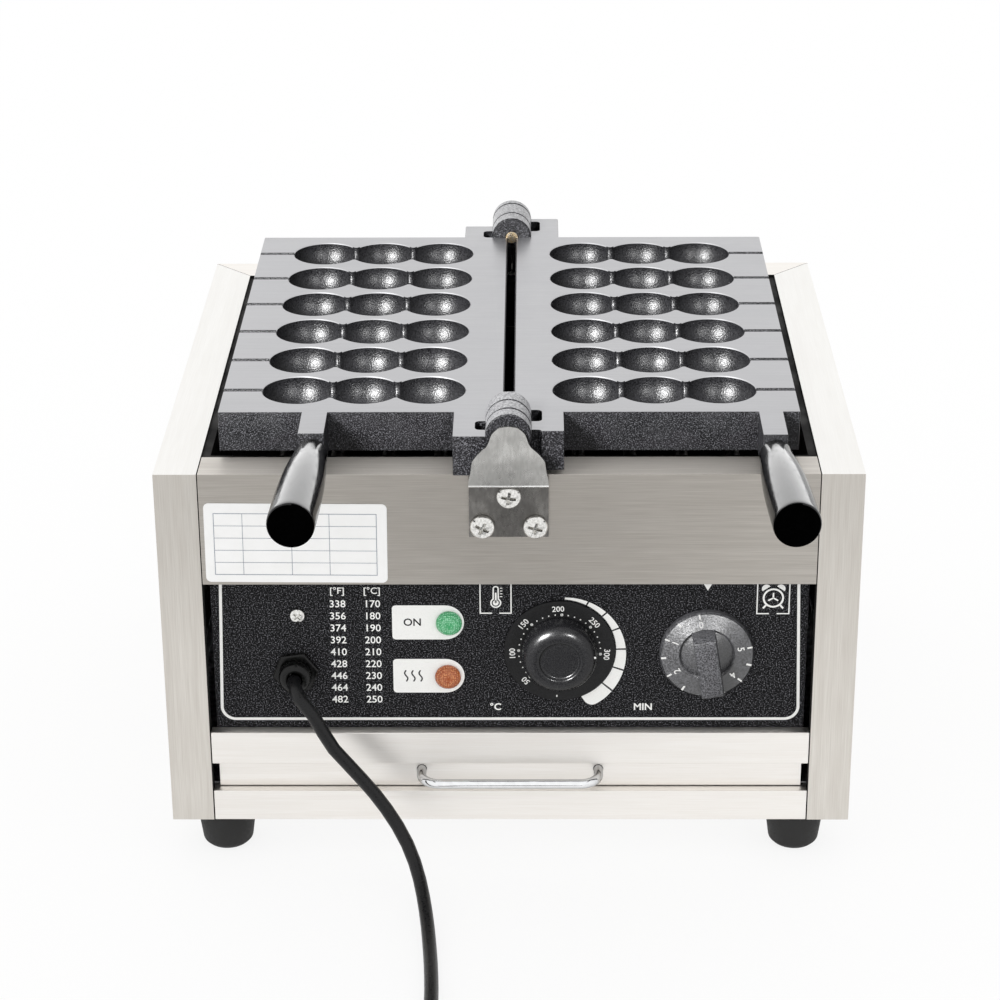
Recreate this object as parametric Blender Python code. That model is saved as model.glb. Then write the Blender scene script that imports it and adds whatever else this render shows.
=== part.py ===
# Stick waffle maker: two cast mould plates that open like a book on a stainless case.
# Metres, +Z up, front towards -Y. The feet stand on z = 0, and the case is centred on x = 0.
import bpy
import bmesh
from math import asin, cos, pi, radians, sin
from mathutils import Matrix, Vector

for old in list(bpy.data.objects):
    bpy.data.objects.remove(old)

# Clearances and allowances
fit_gap = 0.0003
seam = 0.0005
notch_gap = 0.0004
running_gap = 0.0006
overrun = 0.003

# Case
sheet = 0.0015
column_width = 0.0245
column_return = 0.010
rear_flange = 0.015
rear_flange_start = 0.020
rear_flange_end_drop = 0.023
foot_height = 0.024

# Front of the case, from its underside up
bottom_rail_height = 0.0196
drawer_slot = 0.0181
middle_rail_height = 0.0207
window_height = 0.0962
upper_panel_height = 0.0684
upper_flange_depth = 0.0253
panel_recess = 0.008
panel_side_gap = 0.0035
panel_overlap = 0.0095
rail_return = 0.015
lip_depth = 0.010

# Mould plates
plate_thickness = 0.024
plate_clearance = 0.004
plate_front = 0.0247
plate_rear_margin = 0.0273
plate_side_margin = 0.011
plate_end_wall = 0.0094
plate_outer_wall = 0.0435
plate_gap = 0.0008
centre_slot_width = 0.0054
centre_slot_front_inset = 0.0313
centre_slot_rear_inset = 0.0097
pocket_radius = 0.021
pocket_pitch = 0.0375
pockets_in_row = 3
first_pocket = 0.046
row_pitch = 0.0482
row_count = 6
stick_groove_radius = 0.0022
groove_start_share = 0.9

# Hinge: rings alternate between the left plate, -1, and the right plate, 1
ring_radius = 0.013
pin_radius = 0.003
notch_reach = 0.018
ear_reach = 0.031
front_ring_lengths = (0.0096, 0.012, 0.016)
front_ring_sides = (-1, 1, -1)
rear_ring_lengths = (0.0125, 0.0195, 0.0068)
rear_ring_sides = (1, -1, 1)
right_ear_lead = 0.0019
left_ear_cover = 0.0106

# Hinge brackets
bracket_sheet = 0.002
bracket_half_width = 0.0224
bracket_ear_reach = 0.014
bracket_bend_drop = 0.0006
bracket_crown = 0.0066
bracket_flange_height = 0.0369
bell_shares = (
    (1.0, 0.0), (0.99, 0.08), (0.945, 0.208), (0.917, 0.337), (0.899, 0.40), (0.83, 0.465),
    (0.747, 0.529), (0.645, 0.593), (0.562, 0.641), (0.493, 0.721), (0.424, 0.849),
    (0.369, 0.897), (0.286, 0.946), (0.207, 0.978), (0.0, 1.0),
)
bracket_screw_head_radius = 0.0065
bracket_screw_head_height = 0.0036
pan_head_shares = ((1.0, 0.0), (1.0, 0.35), (0.80, 0.80), (0.35, 1.0), (0.0, 1.0))
bracket_screw_radius = 0.003
bracket_screw_length = 0.011
top_screw_drop = 0.0117
lower_screw_drop = 0.0304
lower_screw_spread = 0.015
nut_plate_thickness = 0.003
nut_plate_margin = 0.0065

# Handles
left_boss_inner, left_boss_outer, left_boss_front = 0.1024, 0.1170, -0.0066
right_boss_inner, right_boss_outer, right_boss_front = 0.1410, 0.1548, -0.0090
handle_end_reach = 0.106
handle_end_radius = 0.013
handle_splay = 0.0042
handle_shares = (
    (0.70, 0.0), (0.72, 0.06), (0.75, 0.12), (0.82, 0.21), (0.89, 0.32), (0.945, 0.45),
    (0.985, 0.62), (1.0, 0.78), (1.0, 0.95), (0.97, 0.985), (0.80, 0.996), (0.0, 1.0),
)
stud_radius = 0.004
stud_in_boss = 0.015
stud_in_handle = 0.035

# Heater chamber
shield_front = 0.030
shield_rear_margin = 0.030
shield_depth = 0.058
shield_lip = 0.018
drain_slot_length = 0.150
drain_slot_width = 0.012
drain_slot_spread = 0.090
element_radius = 0.004
element_drop = 0.018
element_run_count = 4
element_first = 0.040
element_pitch = 0.030
element_front_inset = 0.0333
element_rear_inset = 0.0277
element_terminal = 0.012
support_inset = 0.055
support_sheet = 0.002
rest_tab_width = 0.018
rest_tab_inset = 0.0005
support_window = 0.020
support_window_rise = 0.010
bulb_radius = 0.003
bulb_length = 0.090
bulb_inset = 0.015
bulb_side = 0.015
capillary_radius = 0.0012
capillary_reach = 0.022
capillary_exit_share = 0.6

# Drawer
drawer_side_gap = 0.004
drawer_setback = 0.006
drawer_rear_margin = 0.030
drawer_sheet = 0.0012
runner_leg = 0.036
runner_height = 0.016
handle_rod_radius = 0.0028
handle_leg_spacing = 0.104
handle_projection = 0.018
handle_bend_radius = 0.011
handle_rise = 0.0108
handle_leg_inside = 0.007

# Feet
foot_top_radius = 0.0172
foot_bottom_radius = 0.0148
foot_rounding = 0.003
foot_side_inset = 0.0303
foot_end_inset = 0.0187
foot_stud_radius = 0.003
foot_stud_length = 0.008
foot_dimple_radius = 0.005
foot_dimple_depth = 0.004
pan_edge_height = 0.012

# Rear panel
vent_length = 0.060
vent_height = 0.004
vent_pitch = 0.010
vents_in_block = 8
vent_block_spread = 0.090
vent_block_height = 0.060

# Controls: a place is (x, height above the middle rail), and the outer ones keep to the opening's sides
temperature_place = (0.029, 0.0501)
dial_radius = 0.032
dial_thickness = 0.0015
knob_radius = 0.022
knob_front_radius = 0.0205
knob_height = 0.016
knob_dish_radius = 0.012
knob_dish_depth = 0.002
knob_dish_slope = 0.0018
shaft_radius = 0.003
shaft_in_knob = 0.009
shaft_in_body = 0.014
thermostat_size = 0.042
thermostat_depth = 0.030
timer_side_inset, timer_rise = 0.0614, 0.0493
timer_disc_radius = 0.0273
timer_disc_thickness = 0.005
timer_recess_radius = 0.016
timer_recess_depth = 0.002
timer_bevel = 0.001
timer_grip_width = 0.011
timer_grip_height = 0.017
timer_grip_inset = 0.0006
timer_grip_shares = ((0.55, 1.0), (1.0, 0.8), (1.0, -0.9), (0.6, -1.0))
timer_size = 0.050
timer_depth = 0.035
power_lamp_place = (-0.0349, 0.0679)
heat_lamp_place = (-0.0359, 0.0331)
lamp_radius = 0.0075
lamp_rim = 0.0015
lamp_dome = 0.003
lamp_spigot_radius = 0.005
lamp_spigot = 0.004
lamp_body_radius = 0.0065
lamp_body_length = 0.020
panel_screw_side_inset, panel_screw_rise = 0.0532, 0.0727
panel_screw_radius = 0.002
panel_screw_head_radius = 0.0043
panel_screw_head_height = 0.002
panel_screw_length = 0.007
gland_side_inset, gland_rise = 0.0512, 0.0366
gland_flange_radius = 0.0138
gland_flange = 0.005
gland_hexagon = 0.004
gland_barrel_radius = 0.008
gland_barrel = 0.011
gland_cap_radius = 0.0095
gland_cap_length = 0.0066
gland_cap_shares = ((1.0, 0.0), (1.0, 0.45), (0.92, 0.80), (0.65, 1.0), (0.0, 1.0))
locknut_radius = 0.0125
locknut_height = 0.005
block_width = 0.050
block_height = 0.020
block_depth = 0.014
block_side_inset, block_rise = 0.0515, 0.0026
loom_radius = 0.0025
loom_setback = 0.012
loom_step = 0.0125

# Cord and plug
cord_radius = 0.004
cord_step = 0.016
coil_outer_radius = 0.048
coil_turn_pitch = 0.009
coil_layer_pitch = 0.0087
coil_turns_in = 2
coil_turns_out = 1.75
coil_centre = (0.006, -0.240)
plug_run = 0.046
plug_width = 0.030
plug_length = 0.040
plug_shares = ((0.0, 0.40, 0.46), (0.30, 0.46, 0.50), (0.45, 0.80, 0.90), (0.66, 1.0, 1.0), (1.0, 1.0, 1.0))
plug_pin_radius = 0.0024
plug_pin_length = 0.019
plug_pin_spacing = 0.019

# Sides of round pieces, and steps of a pocket, a bend and a turn of the coil
fine_sides = 24
round_sides = 16
small_sides = 12
pocket_sides = 16
pocket_rings = 4
element_bend_steps = 8
handle_bend_steps = 6
capillary_points = 12
coil_steps = 24
curve_steps = 40

# Worked out from the sizes above
last_pocket = first_pocket + (pockets_in_row - 1) * pocket_pitch
groove_start = last_pocket + pocket_radius * groove_start_share
plate_reach = last_pocket + plate_outer_wall
plate_rear = plate_front + row_count * row_pitch + 2 * plate_end_wall
plate_middle = (plate_front + plate_rear) / 2
opening_half_width = plate_reach + plate_side_margin
half_width = opening_half_width + column_width
timer_place = (opening_half_width - timer_side_inset, timer_rise)
panel_screw_place = (panel_screw_side_inset - opening_half_width, panel_screw_rise)
gland_place = (gland_side_inset - opening_half_width, gland_rise)
block_place = (block_side_inset - opening_half_width, block_rise)
case_depth = plate_rear + plate_rear_margin
front_half_width = opening_half_width - seam
inner_half_width = half_width - sheet - fit_gap
inner_rear = case_depth - sheet - fit_gap
middle_rail_low = bottom_rail_height + drawer_slot
middle_rail_top = middle_rail_low + middle_rail_height
upper_panel_low = middle_rail_top + window_height
case_height = upper_panel_low + upper_panel_height
parting_height = case_height + plate_clearance + plate_thickness
drawer_low = bottom_rail_height + running_gap
drawer_high = bottom_rail_height + drawer_slot - seam
handle_height = drawer_low + handle_rise
bracket_bend_height = case_height - bracket_bend_drop
bracket_inner_reach = bracket_ear_reach - bracket_sheet - fit_gap
shield_half_width = opening_half_width - panel_side_gap
shield_rear = case_depth - shield_rear_margin
shield_floor = case_height - shield_depth
element_height = parting_height - plate_thickness - element_drop
element_runs = [element_first + i * element_pitch for i in range(element_run_count)]
panel_back = panel_recess + sheet + fit_gap
knob_start = dial_thickness + 2 * fit_gap
facing_front = (pi / 2, 0, 0)
facing_rear = (-pi / 2, 0, 0)

# The case frame: its origin is the middle of the case front's lower edge
rear_reach = case_depth + bracket_ear_reach
case_front_y = (handle_end_reach - rear_reach) / 2
case_frame = bpy.data.objects.new("case_frame", None)
case_frame.location = (0, case_front_y, foot_height)
bpy.context.collection.objects.link(case_frame)


def axis_empty(name, place):
    empty = bpy.data.objects.new(name, None)
    empty.parent = case_frame
    empty.location = place
    bpy.context.collection.objects.link(empty)
    return empty


left_hinge = axis_empty("left_hinge", (0, 0, parting_height))
right_hinge = axis_empty("right_hinge", (0, 0, parting_height))
drawer_slide = axis_empty("drawer_slide", (0, 0, 0))
temperature_axis = axis_empty(
    "temperature_axis", (temperature_place[0], panel_recess, middle_rail_top + temperature_place[1])
)
timer_axis = axis_empty("timer_axis", (timer_place[0], panel_recess, middle_rail_top + timer_place[1]))


# Materials
def material(name, colour, roughness, metallic):
    made = bpy.data.materials.new(name)
    made.use_nodes = True
    shader = made.node_tree.nodes["Principled BSDF"]
    shader.inputs["Base Color"].default_value = (*colour, 1)
    shader.inputs["Roughness"].default_value = roughness
    shader.inputs["Metallic"].default_value = metallic
    made.diffuse_color = (*colour, 1)
    return made


brushed_steel = material("brushed_steel", (0.62, 0.59, 0.56), 0.35, 1.0)
bright_steel = material("bright_steel", (0.80, 0.80, 0.79), 0.18, 1.0)
cast_alloy = material("cast_alloy", (0.16, 0.16, 0.16), 0.45, 0.6)
black_panel = material("black_panel", (0.02, 0.02, 0.022), 0.5, 0.0)
black_bakelite = material("black_bakelite", (0.012, 0.012, 0.012), 0.2, 0.0)
black_rubber = material("black_rubber", (0.03, 0.03, 0.03), 0.7, 0.0)
black_plastic = material("black_plastic", (0.02, 0.02, 0.02), 0.4, 0.0)
dial_black = material("dial_black", (0.02, 0.02, 0.02), 0.45, 0.0)
green_lens = material("green_lens", (0.05, 0.45, 0.12), 0.2, 0.0)
orange_lens = material("orange_lens", (0.90, 0.30, 0.03), 0.2, 0.0)
ceramic = material("ceramic", (0.85, 0.83, 0.78), 0.6, 0.0)
element_steel = material("element_steel", (0.25, 0.24, 0.23), 0.5, 0.9)
brass = material("brass", (0.75, 0.60, 0.32), 0.3, 1.0)
grey_plastic = material("grey_plastic", (0.55, 0.55, 0.55), 0.5, 0.0)


# Meshes and objects
def mesh_object(name, bm, finish, parent=case_frame, place=(0, 0, 0), turn=(0, 0, 0)):
    mesh = bpy.data.meshes.new(name)
    bm.to_mesh(mesh)
    bm.free()
    return place_mesh(name, mesh, finish, parent, place, turn)


def place_mesh(name, mesh, finish, parent=case_frame, place=(0, 0, 0), turn=(0, 0, 0)):
    obj = bpy.data.objects.new(name, mesh)
    obj.parent = parent
    obj.location = place
    obj.rotation_euler = turn
    if finish and not mesh.materials:
        mesh.materials.append(finish)
    bpy.context.collection.objects.link(obj)
    return obj


def smooth(obj, angle=30):
    obj.data.shade_smooth()
    obj.data.set_sharp_from_angle(angle=radians(angle))
    return obj


def add_box(bm, corner, opposite):
    low = Vector(map(min, corner, opposite))
    high = Vector(map(max, corner, opposite))
    matrix = Matrix.Translation((low + high) / 2) @ Matrix.Diagonal((*(high - low), 1))
    bmesh.ops.create_cube(bm, size=1, matrix=matrix)


def boxes(*pairs):
    bm = bmesh.new()
    for low, high in pairs:
        add_box(bm, low, high)
    return bm


def add_turned(bm, profile, sides, closed=False, matrix=Matrix()):
    # The profile's (radius, height) points turn round Z; a closed one leaves a bore
    rings = []
    for radius, height in profile:
        count = sides if radius else 1
        angles = [2 * pi * (i + 0.5) / sides for i in range(count)]
        points = [matrix @ Vector((radius * cos(a), radius * sin(a), height)) for a in angles]
        rings.append([bm.verts.new(point) for point in points])
    pairs = list(zip(rings, rings[1:]))
    if closed:
        pairs.append((rings[-1], rings[0]))
    faces = []
    for lower, upper in pairs:
        for i in range(sides):
            j = (i + 1) % sides
            below = [lower[i % len(lower)], lower[j % len(lower)]]
            above = [upper[j % len(upper)], upper[i % len(upper)]]
            corners = list(dict.fromkeys(below + above))
            if len(corners) > 2:
                faces.append(bm.faces.new(corners))
    return faces


def turned(profile, sides, closed=False):
    bm = bmesh.new()
    faces = add_turned(bm, profile, sides, closed)
    bmesh.ops.recalc_face_normals(bm, faces=faces)
    return bm


def add_cylinder(bm, start, end, radius, sides):
    axis = Vector(end) - Vector(start)
    matrix = Matrix.Translation(start) @ axis.to_track_quat("Z", "Y").to_matrix().to_4x4()
    profile = [(0, 0), (radius, 0), (radius, axis.length), (0, axis.length)]
    faces = add_turned(bm, profile, sides, matrix=matrix)
    bmesh.ops.recalc_face_normals(bm, faces=faces)


def cylinders(ends, radius, sides):
    bm = bmesh.new()
    for start, end in ends:
        add_cylinder(bm, start, end, radius, sides)
    return bm


def prism(outline, start, end, axis):
    # Extrudes a flat outline from start to end along X, Y or Z
    places = {
        "X": lambda a, b, c: (c, a, b),
        "Y": lambda a, b, c: (a, c, b),
        "Z": lambda a, b, c: (a, b, c),
    }
    bm = bmesh.new()
    face = bm.faces.new([bm.verts.new(places[axis](a, b, start)) for a, b in outline])
    moved = bmesh.ops.extrude_face_region(bm, geom=[face])["geom"]
    shift = Vector(places[axis](0, 0, end - start))
    bmesh.ops.translate(bm, vec=shift, verts=[v for v in moved if isinstance(v, bmesh.types.BMVert)])
    bmesh.ops.recalc_face_normals(bm, faces=bm.faces)
    return bm


def boolean(target, bm, name, operation):
    # The plates' many pockets need the manifold solver, and every other piece takes the exact one
    tool_name = f"{target.name}_{name}"
    tool = mesh_object(tool_name, bm, None, target.parent, target.location, target.rotation_euler)
    tool.hide_render = True
    tool.display_type = "WIRE"
    step = target.modifiers.new(name, "BOOLEAN")
    step.operation = operation
    step.solver = "MANIFOLD" if target.name.endswith("mould_plate") else "EXACT"
    step.object = tool


def cut(target, bm, name):
    boolean(target, bm, name, "DIFFERENCE")


def join(target, bm, name):
    boolean(target, bm, name, "UNION")


def smooth_route(points, spacing):
    # A smooth curve through the points, read at even steps
    knots = [Vector(p) for p in points]
    knots = [2 * knots[0] - knots[1], *knots, 2 * knots[-1] - knots[-2]]
    fine = []
    for a, b, c, d in zip(knots, knots[1:], knots[2:], knots[3:]):
        for i in range(curve_steps):
            t = i / curve_steps
            square, cube = a - 2.5 * b + 2 * c - d / 2, 1.5 * (b - c) + (d - a) / 2
            fine.append(b + (c - a) / 2 * t + square * t**2 + cube * t**3)
    fine.append(knots[-2])
    length = sum((q - p).length for p, q in zip(fine, fine[1:]))
    count = max(2, round(length / spacing))
    route, run, target = [fine[0]], 0.0, length / count
    for p, q in zip(fine, fine[1:]):
        step = (q - p).length
        while run + step >= target * len(route) and len(route) < count:
            route.append(p.lerp(q, (target * len(route) - run) / step))
        run += step
    return route + [fine[-1]]


def tube(name, routes, radius, resolution, finish, parent=case_frame, widths=None):
    curve = bpy.data.curves.new(name, "CURVE")
    curve.dimensions = "3D"
    curve.bevel_depth = radius
    curve.bevel_resolution = resolution
    curve.use_fill_caps = True
    for route in routes:
        spline = curve.splines.new("POLY")
        spline.points.add(len(route) - 1)
        for i, (point, place) in enumerate(zip(spline.points, route)):
            point.co = (*place, 1)
            point.radius = widths[i] if widths else 1
    return place_mesh(name, curve, finish, parent)


# Case sheets
def folded(name, folds):
    # A bent sheet is its flat pieces joined where they meet
    sheet_object = mesh_object(name, folds[0], brushed_steel)
    for number, fold in enumerate(folds[1:], 1):
        join(sheet_object, fold, f"fold_{number}")
    return sheet_object


def side_panel(name, side):
    outer = side * half_width
    inner = side * opening_half_width
    rear_inner = side * (half_width - rear_flange)
    rear = inner_rear
    mitre = case_depth - column_width - seam
    mitre_end = side * (inner_half_width + seam)
    top, thick = case_height, side * sheet
    lid = [(outer, 0), (inner, 0), (inner, mitre), (mitre_end, rear), (outer, rear)]
    folded(name, [
        boxes(((outer - thick, 0, 0), (outer, rear, top))),
        boxes(((inner, 0, 0), (outer, sheet, top))),
        boxes(((inner, 0, 0), (inner + thick, column_return, top))),
        prism(lid, top - sheet, top, "Z"),
        boxes(((rear_inner, rear - sheet, rear_flange_start), (outer, rear, top - rear_flange_end_drop))),
    ])


def bracket_screw_places():
    upper = bracket_bend_height - top_screw_drop
    lower = bracket_bend_height - lower_screw_drop
    return [(0, upper), (-lower_screw_spread, lower), (lower_screw_spread, lower)]


def bracket_holes(start, end):
    ends = [((x, start, z), (x, end, z)) for x, z in bracket_screw_places()]
    return cylinders(ends, bracket_screw_radius + fit_gap, small_sides)


def rear_panel():
    wide, inner = half_width, opening_half_width
    back, top = case_depth, case_height
    lid = [(-wide, back), (-inner, back - column_width), (inner, back - column_width), (wide, back)]
    panel = folded("rear_panel", [
        boxes(((-wide, back - sheet, 0), (wide, back, top))),
        prism(lid, top - sheet, top, "Z"),
    ])
    slots = []
    for side in (-1, 1):
        middle = side * vent_block_spread
        for i in range(vents_in_block):
            low = vent_block_height + i * vent_pitch
            slots.append((
                (middle - vent_length / 2, back - sheet - overrun, low),
                (middle + vent_length / 2, back + overrun, low + vent_height),
            ))
    cut(panel, boxes(*slots), "vents")
    cut(panel, bracket_holes(back + overrun, back - sheet - overrun), "bracket_holes")


def upper_front_panel():
    low, top = upper_panel_low, case_height
    lip = panel_recess - fit_gap
    outline = [
        (0, low), (lip, low), (lip, low + sheet), (sheet, low + sheet), (sheet, top - sheet),
        (upper_flange_depth, top - sheet), (upper_flange_depth, top), (0, top),
    ]
    panel = mesh_object(
        "upper_front_panel", prism(outline, -front_half_width, front_half_width, "X"), brushed_steel
    )
    cut(panel, bracket_holes(-overrun, sheet + overrun), "bracket_holes")


def front_rail(name, low, height, ledge, turn_back):
    top = low + height
    outline = [
        (0, low), (turn_back, low), (turn_back, low + sheet), (sheet, low + sheet),
        (sheet, top - sheet), (ledge, top - sheet), (ledge, top), (0, top),
    ]
    mesh_object(name, prism(outline, -front_half_width, front_half_width, "X"), brushed_steel)


def control_panel():
    wide = opening_half_width - panel_side_gap
    low = middle_rail_top - panel_overlap
    high = upper_panel_low + panel_overlap
    front, back = panel_recess, panel_recess + sheet
    panel = mesh_object("control_panel", boxes(((-wide, front, low), (wide, back, high))), black_panel)
    holes = [
        (temperature_place, shaft_radius + seam),
        (timer_place, shaft_radius + seam),
        (power_lamp_place, lamp_spigot_radius + fit_gap),
        (heat_lamp_place, lamp_spigot_radius + fit_gap),
        (panel_screw_place, panel_screw_radius + fit_gap),
        (gland_place, gland_barrel_radius + fit_gap),
    ]
    bm = bmesh.new()
    for (x, rise), radius in holes:
        z = middle_rail_top + rise
        add_cylinder(bm, (x, front - overrun, z), (x, back + overrun, z), radius, round_sides)
    cut(panel, bm, "holes")


def tray(name, low, high, thickness, finish, parent=case_frame):
    # An open box of sheet
    shell = mesh_object(name, boxes((low, high)), finish, parent)
    inside_low = Vector(low) + Vector((thickness, thickness, thickness))
    inside_high = Vector(high) + Vector((-thickness, -thickness, overrun))
    cut(shell, boxes((inside_low, inside_high)), "inside")
    return shell


def base_pan():
    wide = inner_half_width
    front = lip_depth + fit_gap
    back = inner_rear - sheet - fit_gap
    pan = tray("base_pan", (-wide, front, 0), (wide, back, pan_edge_height), sheet, brushed_steel)
    ends = [((x, y, -overrun), (x, y, sheet + overrun)) for x, y in foot_places()]
    cut(pan, cylinders(ends, foot_stud_radius + fit_gap, small_sides), "foot_holes")


# Feet
def foot_places():
    x = half_width - foot_side_inset
    front, rear = foot_end_inset, case_depth - foot_end_inset
    return [(-x, front), (x, front), (-x, rear), (x, rear)]


def feet():
    low = -foot_height
    top = -fit_gap
    profile = [
        (0, low + foot_dimple_depth), (foot_dimple_radius, low + foot_dimple_depth),
        (foot_dimple_radius, low),
        (foot_bottom_radius - foot_rounding, low), (foot_bottom_radius, low + foot_rounding),
        (foot_top_radius, top), (foot_stud_radius, top), (foot_stud_radius, foot_stud_length),
        (0, foot_stud_length),
    ]
    bm = turned(profile, round_sides)
    mesh = bpy.data.meshes.new("foot")
    bm.to_mesh(mesh)
    bm.free()
    names = ("front_left_foot", "front_right_foot", "rear_left_foot", "rear_right_foot")
    for name, (x, y) in zip(names, foot_places()):
        smooth(place_mesh(name, mesh, black_rubber, place=(x, y, 0)))


# Hinge brackets, screws and pins
def hinge_bracket(name, place, turn):
    # A bell-shaped ear stands in front of the knuckles on a shelf that steps back to the screwed flange
    wide, thick = bracket_half_width, bracket_sheet
    face, ear = -bracket_sheet - fit_gap, -bracket_ear_reach
    low = bracket_bend_height - thick
    top = parting_height + bracket_crown
    rise = top - bracket_bend_height
    foot = low - bracket_flange_height + thick
    right = [(wide * u, bracket_bend_height + rise * v) for u, v in bell_shares]
    left = [(-x, z) for x, z in reversed(right[:-1])]
    bell = [(-wide, low), (wide, low), *right, *left]
    bracket = mesh_object(name, prism(bell, ear, ear + thick, "Y"), bright_steel, place=place, turn=turn)
    step = [
        (ear, low), (face, low), (face, foot), (face + thick, foot), (face + thick, low + thick),
        (ear, low + thick),
    ]
    join(bracket, prism(step, -wide, wide, "X"), "shelf_and_flange")
    cut(bracket, bracket_holes(face - overrun, overrun), "screw_holes")


def pan_head(radius, height, face):
    return [(radius * r, face + height * h) for r, h in pan_head_shares]


def bracket_screws(end_name, y, turn):
    face = bracket_sheet + 2 * fit_gap
    end = face - bracket_screw_length
    shank = [(0, end), (bracket_screw_radius, end), (bracket_screw_radius, face)]
    profile = shank + pan_head(bracket_screw_head_radius, bracket_screw_head_height, face)
    for name, (x, z) in zip(("top", "left", "right"), bracket_screw_places()):
        place = (x, y, z)
        screw_name = f"{end_name}_bracket_{name}_screw"
        smooth(mesh_object(screw_name, turned(profile, round_sides), bright_steel, place=place, turn=turn))


def nut_plate(name, near, outward):
    # One plate behind the sheet takes the bracket's three screws
    (_, upper), (left, lower), (right, _) = bracket_screw_places()
    margin = nut_plate_margin
    far = near + outward * nut_plate_thickness
    low = (left - margin, min(near, far), lower - margin)
    high = (right + margin, max(near, far), upper + margin)
    plate = mesh_object(name, boxes((low, high)), bright_steel)
    cut(plate, bracket_holes(near - overrun * outward, far + overrun * outward), "holes")


def hinge_stack(start, lengths, sides):
    rings = []
    for length, side in zip(lengths, sides):
        rings.append((side, start, start + length))
        start += length + seam
    return rings


rear_stack_length = sum(rear_ring_lengths) + 2 * seam
front_stack = hinge_stack(-bracket_inner_reach, front_ring_lengths, front_ring_sides)
rear_stack_start = case_depth + bracket_inner_reach - rear_stack_length
rear_stack = hinge_stack(rear_stack_start, rear_ring_lengths, rear_ring_sides)


def hinge_pin(name, start, end):
    bm = cylinders([((0, start, parting_height), (0, end, parting_height))], pin_radius, round_sides)
    smooth(mesh_object(name, bm, brass))


# Mould plates, in the hinge's frame: the axis is X = Z = 0 and the shut faces meet at Z = 0
def pocket_cutter(side, index):
    profile = []
    for i in range(pocket_rings + 1):
        angle = pi / 2 * i / pocket_rings
        profile.append((pocket_radius * sin(angle), -pocket_radius * cos(angle)))
    profile[0] = (0, -pocket_radius)
    profile += [(pocket_radius, overrun), (0, overrun)]
    bm = bmesh.new()
    x = side * (first_pocket + index * pocket_pitch)
    for y in row_places():
        add_turned(bm, profile, pocket_sides, matrix=Matrix.Translation((x, y, 0)))
    bmesh.ops.recalc_face_normals(bm, faces=bm.faces)
    return bm


def row_places():
    return [plate_middle + (i - (row_count - 1) / 2) * row_pitch for i in range(row_count)]


def mould_plate(name, side, hinge, ear_front, ear_rear, boss_inner, boss_outer, boss_front):
    near, slot = plate_gap / 2, centre_slot_width / 2
    outline = [
        (near, ear_front), (ear_reach, ear_front), (ear_reach, plate_front), (boss_inner, plate_front),
        (boss_inner, boss_front), (boss_outer, boss_front), (boss_outer, plate_front),
        (plate_reach, plate_front), (plate_reach, plate_rear), (ear_reach, plate_rear),
        (ear_reach, ear_rear), (near, ear_rear), (near, plate_rear - centre_slot_rear_inset),
        (slot, plate_rear - centre_slot_rear_inset), (slot, plate_front + centre_slot_front_inset),
        (near, plate_front + centre_slot_front_inset),
    ]
    outline = [(side * x, y) for x, y in outline]
    slab = prism(outline, -plate_thickness, -fit_gap / 2, "Z")
    plate = mesh_object(name, slab, cast_alloy, hinge)
    for index in range(pockets_in_row):
        cut(plate, pocket_cutter(side, index), f"pockets_{index + 1}")
    groove_end = plate_reach + overrun
    grooves = [((side * groove_start, y, 0), (side * groove_end, y, 0)) for y in row_places()]
    cut(plate, cylinders(grooves, stick_groove_radius, small_sides), "stick_grooves")
    stack = front_stack + rear_stack
    notches = [
        (
            (min(0, side * notch_reach), front - notch_gap, -plate_thickness - overrun),
            (max(0, side * notch_reach), rear + notch_gap, overrun),
        )
        for owner, front, rear in stack if owner != side
    ]
    cut(plate, boxes(*notches), "hinge_notches")
    own = [((0, front, 0), (0, rear, 0)) for owner, front, rear in stack if owner == side]
    join(plate, cylinders(own, ring_radius, fine_sides), "hinge_rings")
    bores = [
        ((0, stack[0][1] - overrun, 0), (0, front_stack[-1][2] + seam, 0)),
        ((0, rear_stack[0][1] - seam, 0), (0, stack[-1][2] + overrun, 0)),
    ]
    cut(plate, cylinders(bores, pin_radius + fit_gap, round_sides), "pin_bores")
    length = boss_front - fit_gap + handle_end_reach
    angle = side * asin(handle_splay / length)
    lead = (boss_outer - boss_inner) / 2 * sin(abs(angle))
    middle = side * (boss_inner + boss_outer) / 2
    place = Vector((middle, boss_front - fit_gap - lead, -plate_thickness / 2))
    outward = Vector((sin(angle), -cos(angle), 0))
    hole = [(place + outward * overrun, place - outward * (stud_in_boss + fit_gap))]
    cut(plate, cylinders(hole, stud_radius + fit_gap, small_sides), "stud_hole")
    handle(name.split("_")[0], hinge, place, length - lead, angle)


def handle(side_name, hinge, place, length, angle):
    turn = (facing_front[0], 0, angle)
    bore = stud_radius + fit_gap
    depth = stud_in_handle + fit_gap
    outer = [(handle_end_radius * r, length * h) for r, h in handle_shares]
    profile = [(0, depth), (bore, depth), (bore, 0), *outer]
    grip = turned(profile, round_sides)
    smooth(mesh_object(f"{side_name}_handle", grip, black_bakelite, hinge, place, turn))
    back, front = -stud_in_boss, stud_in_handle
    stud = turned([(0, back), (stud_radius, back), (stud_radius, front), (0, front)], small_sides)
    mesh_object(f"{side_name}_handle_stud", stud, bright_steel, hinge, place, turn)


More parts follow.
